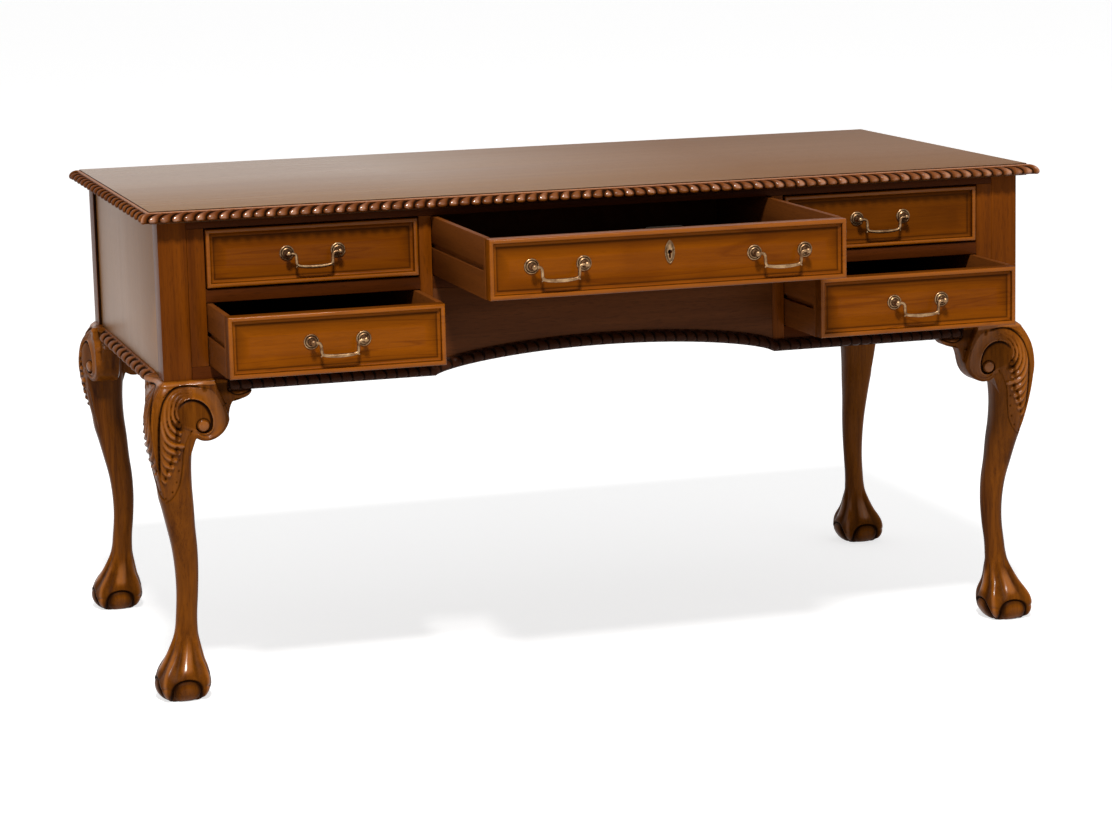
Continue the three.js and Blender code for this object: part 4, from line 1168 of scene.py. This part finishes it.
# Profile of a handle post: radius and distance out of the drawer's face, in mm
POST_PROFILE = (
    (0, -23.3), (4.4, -23.3), (5, -22.8), (5, -20.9), (4.5, -20.3), (2.2, -20.3), (2.2, -3.5), (11.6, -3.5),
    (12, -3.1), (11.9, -2.2), (11.2, -1.4), (10.3, -1.2), (9.8, -1.8), (9.1, -1.7), (8.6, -0.8), (7.9, 0.1),
    (7.0, 0.6), (6.4, 0.2), (5.8, 0.3), (5.3, 1.3), (4.8, 2.2), (4.2, 3.1), (3.5, 4.1), (3.0, 5.2),
    (2.8, 6.4), (3.0, 7.6), (3.6, 9.0), (4.2, 10.1), (4.65, 11.2), (4.8, 12.4), (4.8, 13.6), (4.5, 14.8),
    (3.9, 15.9), (3.0, 16.8), (1.8, 17.5), (0.8, 17.75), (0, 17.8),
)
BAIL_PATH = (
    (-38.9, 0), (-36.5, 0), (-33.5, -0.3), (-31, -1.5), (-29.7, -3.6), (-29.2, -6.5), (-29, -10),
    (-28.8, -14), (-28, -17.2), (-26, -19.2), (-22.5, -20.3), (-18, -21), (-12, -21.5), (-6, -21.8),
    (0, -21.9),
)
BAIL_RADIUS = 2.45
NIB_PATH = ((-27.0, -19.4), (-29.0, -21.0), (-30.4, -22.2))
NIB_RADIUS, NIB_TIP = 1.7, 1.0
# How far the bail's turning line lies under the top of the bail, and behind the front of the posts
PIVOT_DROP, PIVOT_BACK = 1.7 * MM, 4.8 * MM
# How far the turning line stands out of the drawer's face, in mm
PIVOT_OUT = 13


def turned(u, v):
    """A handle post about its own pivot."""
    profile = np.array(POST_PROFILE, float)
    radius, out = profile[np.round(v * (len(profile) - 1)).astype(int)].T
    angle = u * 2 * math.pi
    ring = ((radius < 10) & (radius > 9) & (out > -3)) | ((radius < 6.5) & (radius > 5.5) & (out > -1))
    neck = (radius < 3.3) & (out > 2) & (out < 8)
    shape = [radius * np.cos(angle), PIVOT_OUT - out, radius * np.sin(angle)]
    return np.column_stack(shape) * MM, 0.9 * ring + 0.6 * neck


def rod(path, radius, tip, swell=0.0):
    """A round rod along a path of (across, up) in mm.

    tip is its radius at the last point, and swell is what its middle has more.
    """
    line_at, length = traced(drawn(path, 8))

    def surface(u, v):
        share = np.clip((u - 0.02) / 0.96, 0, 1)
        at = share * length
        x, z = line_at(at)
        ahead = line_at(at + 0.2) - line_at(at - 0.2)
        ahead /= np.hypot(*ahead) + 1e-9
        wide = radius + (tip - radius) * share + swell * bump((share - 0.5) / 0.17)
        wide = wide * np.where((u < 0.01) | (u > 0.99), 0, 1)
        angle = v * 2 * math.pi
        x = x - ahead[1] * wide * np.cos(angle)
        z = z + ahead[0] * wide * np.cos(angle)
        return np.column_stack([x, wide * np.sin(angle), z]) * MM, 0.0

    return surface


class DESK_OT_handles(bpy.types.Operator):
    """Turn one ringed handle post and bend one bail, and set them on the drawers"""
    bl_idname = "desk.handles"
    bl_label = "Handles"

    def execute(self, context):
        post = laid("post_pattern", 44, len(POST_PROFILE) - 1, turned, 40)
        path = BAIL_PATH + tuple((-x, z) for x, z in BAIL_PATH[-2::-1])
        bail = laid("bail_pattern", 150, 18, rod(path, BAIL_RADIUS, BAIL_RADIUS, 0.7), 60)
        for way in (-1, 1):
            nib_path = [(-way * x, z) for x, z in NIB_PATH]
            nib = laid("nib", 8, 12, rod(nib_path, NIB_RADIUS, NIB_TIP), 60)
            take_up(bail)
            nib.select_set(True)
            bpy.ops.object.join()
        for place in BAILS:
            node = f"bail_{place}"
            low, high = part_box(node)
            pivot = Vector(((low.x + high.x) / 2, (low.y + high.y) / 2, high.z - PIVOT_DROP))
            swinging = placed_copy(bail, f"{place}_bail_rod", Matrix.Translation(pivot))
            finish(swinging, f"{place}_bail", "brass", node)
            drawer = "center_drawer" if place.startswith("center") else f"{place}_drawer"
            for side in ("left", "right"):
                node = f"handle_post_{place}_{side}"
                low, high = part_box(node)
                pivot = Vector(((low.x + high.x) / 2, low.y + PIVOT_BACK, (low.z + high.z) / 2))
                standing = placed_copy(post, f"{place}_{side}_post", Matrix.Translation(pivot))
                finish(standing, drawer, "brass", node)
        discard(post, bail)
        return {"FINISHED"}


class DESK_OT_lock(bpy.types.Operator):
    """Cut the pointed escutcheon and set the lock behind it with its bolt"""
    bl_idname = "desk.lock"
    bl_label = "Lock"

    def execute(self, context):
        low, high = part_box("escutcheon")
        key, thick = middle_of("escutcheon"), high.y - low.y
        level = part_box("drawer_front_center")[0].y - BEAD_OUT + context.scene.desk_sizes.field_sunk
        clear_selection()
        bpy.ops.mesh.primitive_circle_add(
            vertices=72, radius=1, fill_type="NGON", location=(key.x, level, key.z),
            rotation=(math.pi / 2, 0, 0),
        )
        plate = named("escutcheon_plate")
        co = places(plate)
        angle = np.arctan2(co[:, 2] - key.z, co[:, 0] - key.x)
        half_x, half_z = (high.x - low.x) / 2, (high.z - low.z) / 2 - 2 * MM
        co[:, 0] = key.x + half_x * np.cos(angle) * np.abs(np.cos(angle)) ** 0.35
        co[:, 2] = key.z + half_z * np.sin(angle)
        move_to(plate, co)
        edit_all()
        bpy.ops.mesh.extrude_region_move(TRANSFORM_OT_translate={"value": (0, -thick, 0)})
        for shrink, back in (((0.84, 1, 0.92), 0), ((0.97, 1, 0.98), 0.5 * MM)):
            bpy.ops.mesh.extrude_region_move(TRANSFORM_OT_translate={"value": (0, back, 0)})
            bpy.ops.transform.resize(value=shrink, center_override=(key.x, level, key.z))
        bpy.ops.mesh.select_all(action="SELECT")
        bpy.ops.mesh.normals_make_consistent(inside=False)
        bpy.ops.object.mode_set(mode="OBJECT")
        rub_down(plate, 0.3 * MM)
        mark_patina_and_shade(plate, np.where(places(plate)[:, 1] > level - thick + 0.5 * MM, 0.8, 0.42))
        cut_with(plate, key_cutter("key_eye", level - 6 * MM, level + 6 * MM))
        finish(smoothed(plate), "center_drawer", "brass", "escutcheon")
        finish(eased("lock_case_box", "lock_case", 0.5 * MM), "center_drawer", "steel", "lock_case")
        finish(eased("lock_bolt_bar", "lock_bolt", 0.6 * MM), "bolt", "steel", "lock_bolt")
        return {"FINISHED"}


# Stage

LENS, SENSOR = 102.78, 36
CAMERA_PLACE = (-1.5298, -5.0338, 1.3203)
# How far the camera is turned to the right, tipped down and rolled, in degrees
CAMERA_TURNS = (16.577, 10.221, 1.36)


def light(name, place, target, size, power, colour):
    """A soft rectangular light at a place, turned to its target."""
    data = bpy.data.lights.new(name, "AREA")
    data.shape = "RECTANGLE"
    data.size, data.size_y = size
    data.energy, data.color = power, colour
    lamp = bpy.data.objects.new(name, data)
    bpy.context.scene.collection.objects.link(lamp)
    lamp.location = place
    lamp.rotation_euler = (Vector(target) - Vector(place)).to_track_quat("-Z", "Y").to_euler()


def set_camera(scene):
    """The camera at the photograph's angle."""
    data = bpy.data.cameras.new("view")
    data.lens, data.sensor_width, data.sensor_fit = LENS, SENSOR, "HORIZONTAL"
    scene.camera = bpy.data.objects.new("view", data)
    scene.collection.objects.link(scene.camera)
    yaw, pitch, roll = (math.radians(turn) for turn in CAMERA_TURNS)
    forward = Vector((math.sin(yaw) * math.cos(pitch), math.cos(yaw) * math.cos(pitch), -math.sin(pitch)))
    level = Vector((math.cos(yaw), -math.sin(yaw), 0))
    down = forward.cross(level)
    across = math.cos(roll) * level + math.sin(roll) * down
    below = -math.sin(roll) * level + math.cos(roll) * down
    turn = Matrix([across, -below, -forward]).transposed()
    scene.camera.matrix_world = Matrix.Translation(CAMERA_PLACE) @ turn.to_4x4()


class DESK_OT_stage(bpy.types.Operator):
    """Set the pale floor, the soft lights, the white background and the camera"""
    bl_idname = "desk.stage"
    bl_label = "Floor, lights and camera"

    def execute(self, context):
        scene = context.scene
        stage = scene.desk_stage
        clear_selection()
        bpy.ops.mesh.primitive_grid_add(x_subdivisions=4, y_subdivisions=4, size=60, location=(0, 10, 0))
        floor = named("floor")
        look = Look(bpy.data.materials.new("pale_floor"))
        seen = look.mixed(look.direct(), (0, 0, 0), (stage.floor_lift,) * 3)
        tone = (stage.floor_tone,) * 3
        floor.data.materials.append(look.surface(tone, 0.9, Emission_Color=seen, Emission_Strength=1.0))

        scene.world = bpy.data.worlds.new("studio")
        sky = Look(scene.world)
        strength = sky.direct().limited(0, 1, stage.fill, 1.0)
        sky.add("OutputWorld", None, sky.add("Background", None, (1, 1, 1), strength))
        light("key", (-1.6, -5.4, 7.4), (0, -0.1, 0.5), (1.2, 1.0), stage.key_power, (1, 0.985, 0.96))
        light("fill", (3.0, -3.4, 2.2), (0, 0, 0.5), (2.4, 2.4), stage.fill_power, (0.96, 0.98, 1))
        set_camera(scene)
        scene.view_settings.view_transform = "Standard"
        return {"FINISHED"}


# Sizes, colours and the panel


def size_of(name, description, value):
    return FloatProperty(
        name=name, description=description, default=value, unit="LENGTH", subtype="DISTANCE",
    )


def amount_of(name, description, value, **limits):
    return FloatProperty(name=name, description=description, default=value, min=0, **limits)


def colour_of(name, *levels):
    return FloatVectorProperty(
        name=name, description=name, default=srgb(*levels), size=3, subtype="COLOR", min=0, max=1,
    )


class DeskSizes(bpy.types.PropertyGroup):
    post_round: size_of("Post rounding", "Rounding of the square posts' edges", 1.1 * MM)
    board_round: size_of("Board rounding", "Wear on the edges of rails and panels", 0.5 * MM)
    box_round: size_of("Box rounding", "Wear on the edges of the drawer boxes", 0.7 * MM)
    bead_width: size_of("Bead width", "Width of the bead round a drawer front", 7 * MM)
    field_sunk: size_of("Field depth", "How far the field of a drawer front lies behind its bead", 8 * MM)
    lobe_pitch: size_of("Lobe pitch", "Length of one broad and one narrow lobe", 36 * MM)
    side_lobe_pitch: size_of("Rib pitch", "Distance between the curved ribs at the ends", 46 * MM)
    lobe_depth: size_of("Lobe depth", "Depth of the grooves between the lobes", 4.4 * MM)


class DeskColours(bpy.types.PropertyGroup):
    wood_light: colour_of("Frame, light grain", 118, 59, 5)
    wood_dark: colour_of("Frame, dark grain", 76, 33, 1)
    wood_deep: colour_of("Hollows", 18, 6, 2)
    field_light: colour_of("Drawer front, light grain", 138, 72, 3)
    field_dark: colour_of("Drawer front, dark grain", 90, 40, 1)
    top_light: colour_of("Top, light grain", 136, 100, 58)
    top_dark: colour_of("Top, dark grain", 102, 64, 33)
    panel_light: colour_of("End panel, light grain", 150, 97, 32)
    panel_dark: colour_of("End panel, dark grain", 122, 73, 16)
    edge_light: colour_of("Mouldings, light grain", 124, 70, 28)
    edge_dark: colour_of("Mouldings, dark grain", 84, 38, 12)
    carving_light: colour_of("Carving, light grain", 128, 70, 12)
    carving_dark: colour_of("Carving, dark grain", 60, 26, 3)
    # Pale colour mixed in as painted highlight on beads, feet and carving, partly wear on the carved crowns
    wood_highlight: colour_of("Carving, rubbed pale", 168, 96, 16)
    rail_light: colour_of("Rails, light grain", 84, 38, 8)
    rail_dark: colour_of("Rails, dark grain", 52, 22, 4)
    frieze_light: colour_of("Frieze mouldings, light grain", 60, 30, 14)
    frieze_dark: colour_of("Frieze mouldings, dark grain", 36, 16, 6)
    apron_light: colour_of("Apron, light grain", 98, 54, 24)
    apron_dark: colour_of("Apron, dark grain", 68, 34, 12)
    box_light: colour_of("Drawer box, light grain", 112, 60, 20)
    box_dark: colour_of("Drawer box, dark grain", 80, 40, 12)
    inside_light: colour_of("Inside, light grain", 70, 36, 16)
    inside_dark: colour_of("Inside, dark grain", 44, 20, 8)
    brass_light: colour_of("Brass, rubbed", 170, 138, 102)
    brass_dark: colour_of("Brass, aged", 98, 68, 44)
    brass_deep: colour_of("Metal, hollows", 30, 20, 12)
    steel_light: colour_of("Lock, bright", 40, 34, 26)
    steel_dark: colour_of("Lock, dark", 24, 20, 16)


class DeskStage(bpy.types.PropertyGroup):
    key_power: amount_of("Key light", "Power of the key light", 860, unit="POWER")
    fill_power: amount_of("Fill light", "Power of the fill light", 10, unit="POWER")
    fill: amount_of("Sky", "Strength of the pale surroundings", 0.34, max=1)
    floor_tone: amount_of("Floor", "Paleness of the floor", 0.6, max=1)
    floor_lift: amount_of("Floor lift", "Paleness added to the floor", 0.7, max=1)


SETTINGS = {"desk_sizes": DeskSizes, "desk_colours": DeskColours, "desk_stage": DeskStage}


class DESK_PT_panel(bpy.types.Panel):
    """The desk's pieces, sizes and colours"""
    bl_label = "Carved Writing Desk"
    bl_idname = "DESK_PT_panel"
    bl_space_type = "VIEW_3D"
    bl_region_type = "UI"
    bl_category = "Desk"

    def draw(self, context):
        column = self.layout.column()
        for operator in OPERATORS:
            column.operator(operator.bl_idname)
        for group, settings in SETTINGS.items():
            column.separator()
            for name in settings.__annotations__:
                column.prop(getattr(context.scene, group), name)


OPERATORS = (
    DESK_OT_legs, DESK_OT_knee_brackets, DESK_OT_top, DESK_OT_frieze_mouldings, DESK_OT_boards,
    DESK_OT_drawer_fronts, DESK_OT_drawer_boxes, DESK_OT_handles, DESK_OT_lock, DESK_OT_stage,
)
CLASSES = (*SETTINGS.values(), *OPERATORS, DESK_PT_panel)


def register():
    for item in CLASSES:
        bpy.utils.register_class(item)
    for group, settings in SETTINGS.items():
        setattr(bpy.types.Scene, group, PointerProperty(type=settings))


def unregister():
    for group in SETTINGS:
        delattr(bpy.types.Scene, group)
    for item in reversed(CLASSES):
        bpy.utils.unregister_class(item)


def main():
    register()
    bpy.ops.desk.legs()
    bpy.ops.desk.knee_brackets()
    bpy.ops.desk.top()
    bpy.ops.desk.frieze_mouldings()
    bpy.ops.desk.boards()
    bpy.ops.desk.drawer_fronts()
    bpy.ops.desk.drawer_boxes()
    bpy.ops.desk.handles()
    bpy.ops.desk.lock()
    bpy.ops.desk.stage()
    bpy.context.view_layer.update()


if __name__ == "__main__":
    main()
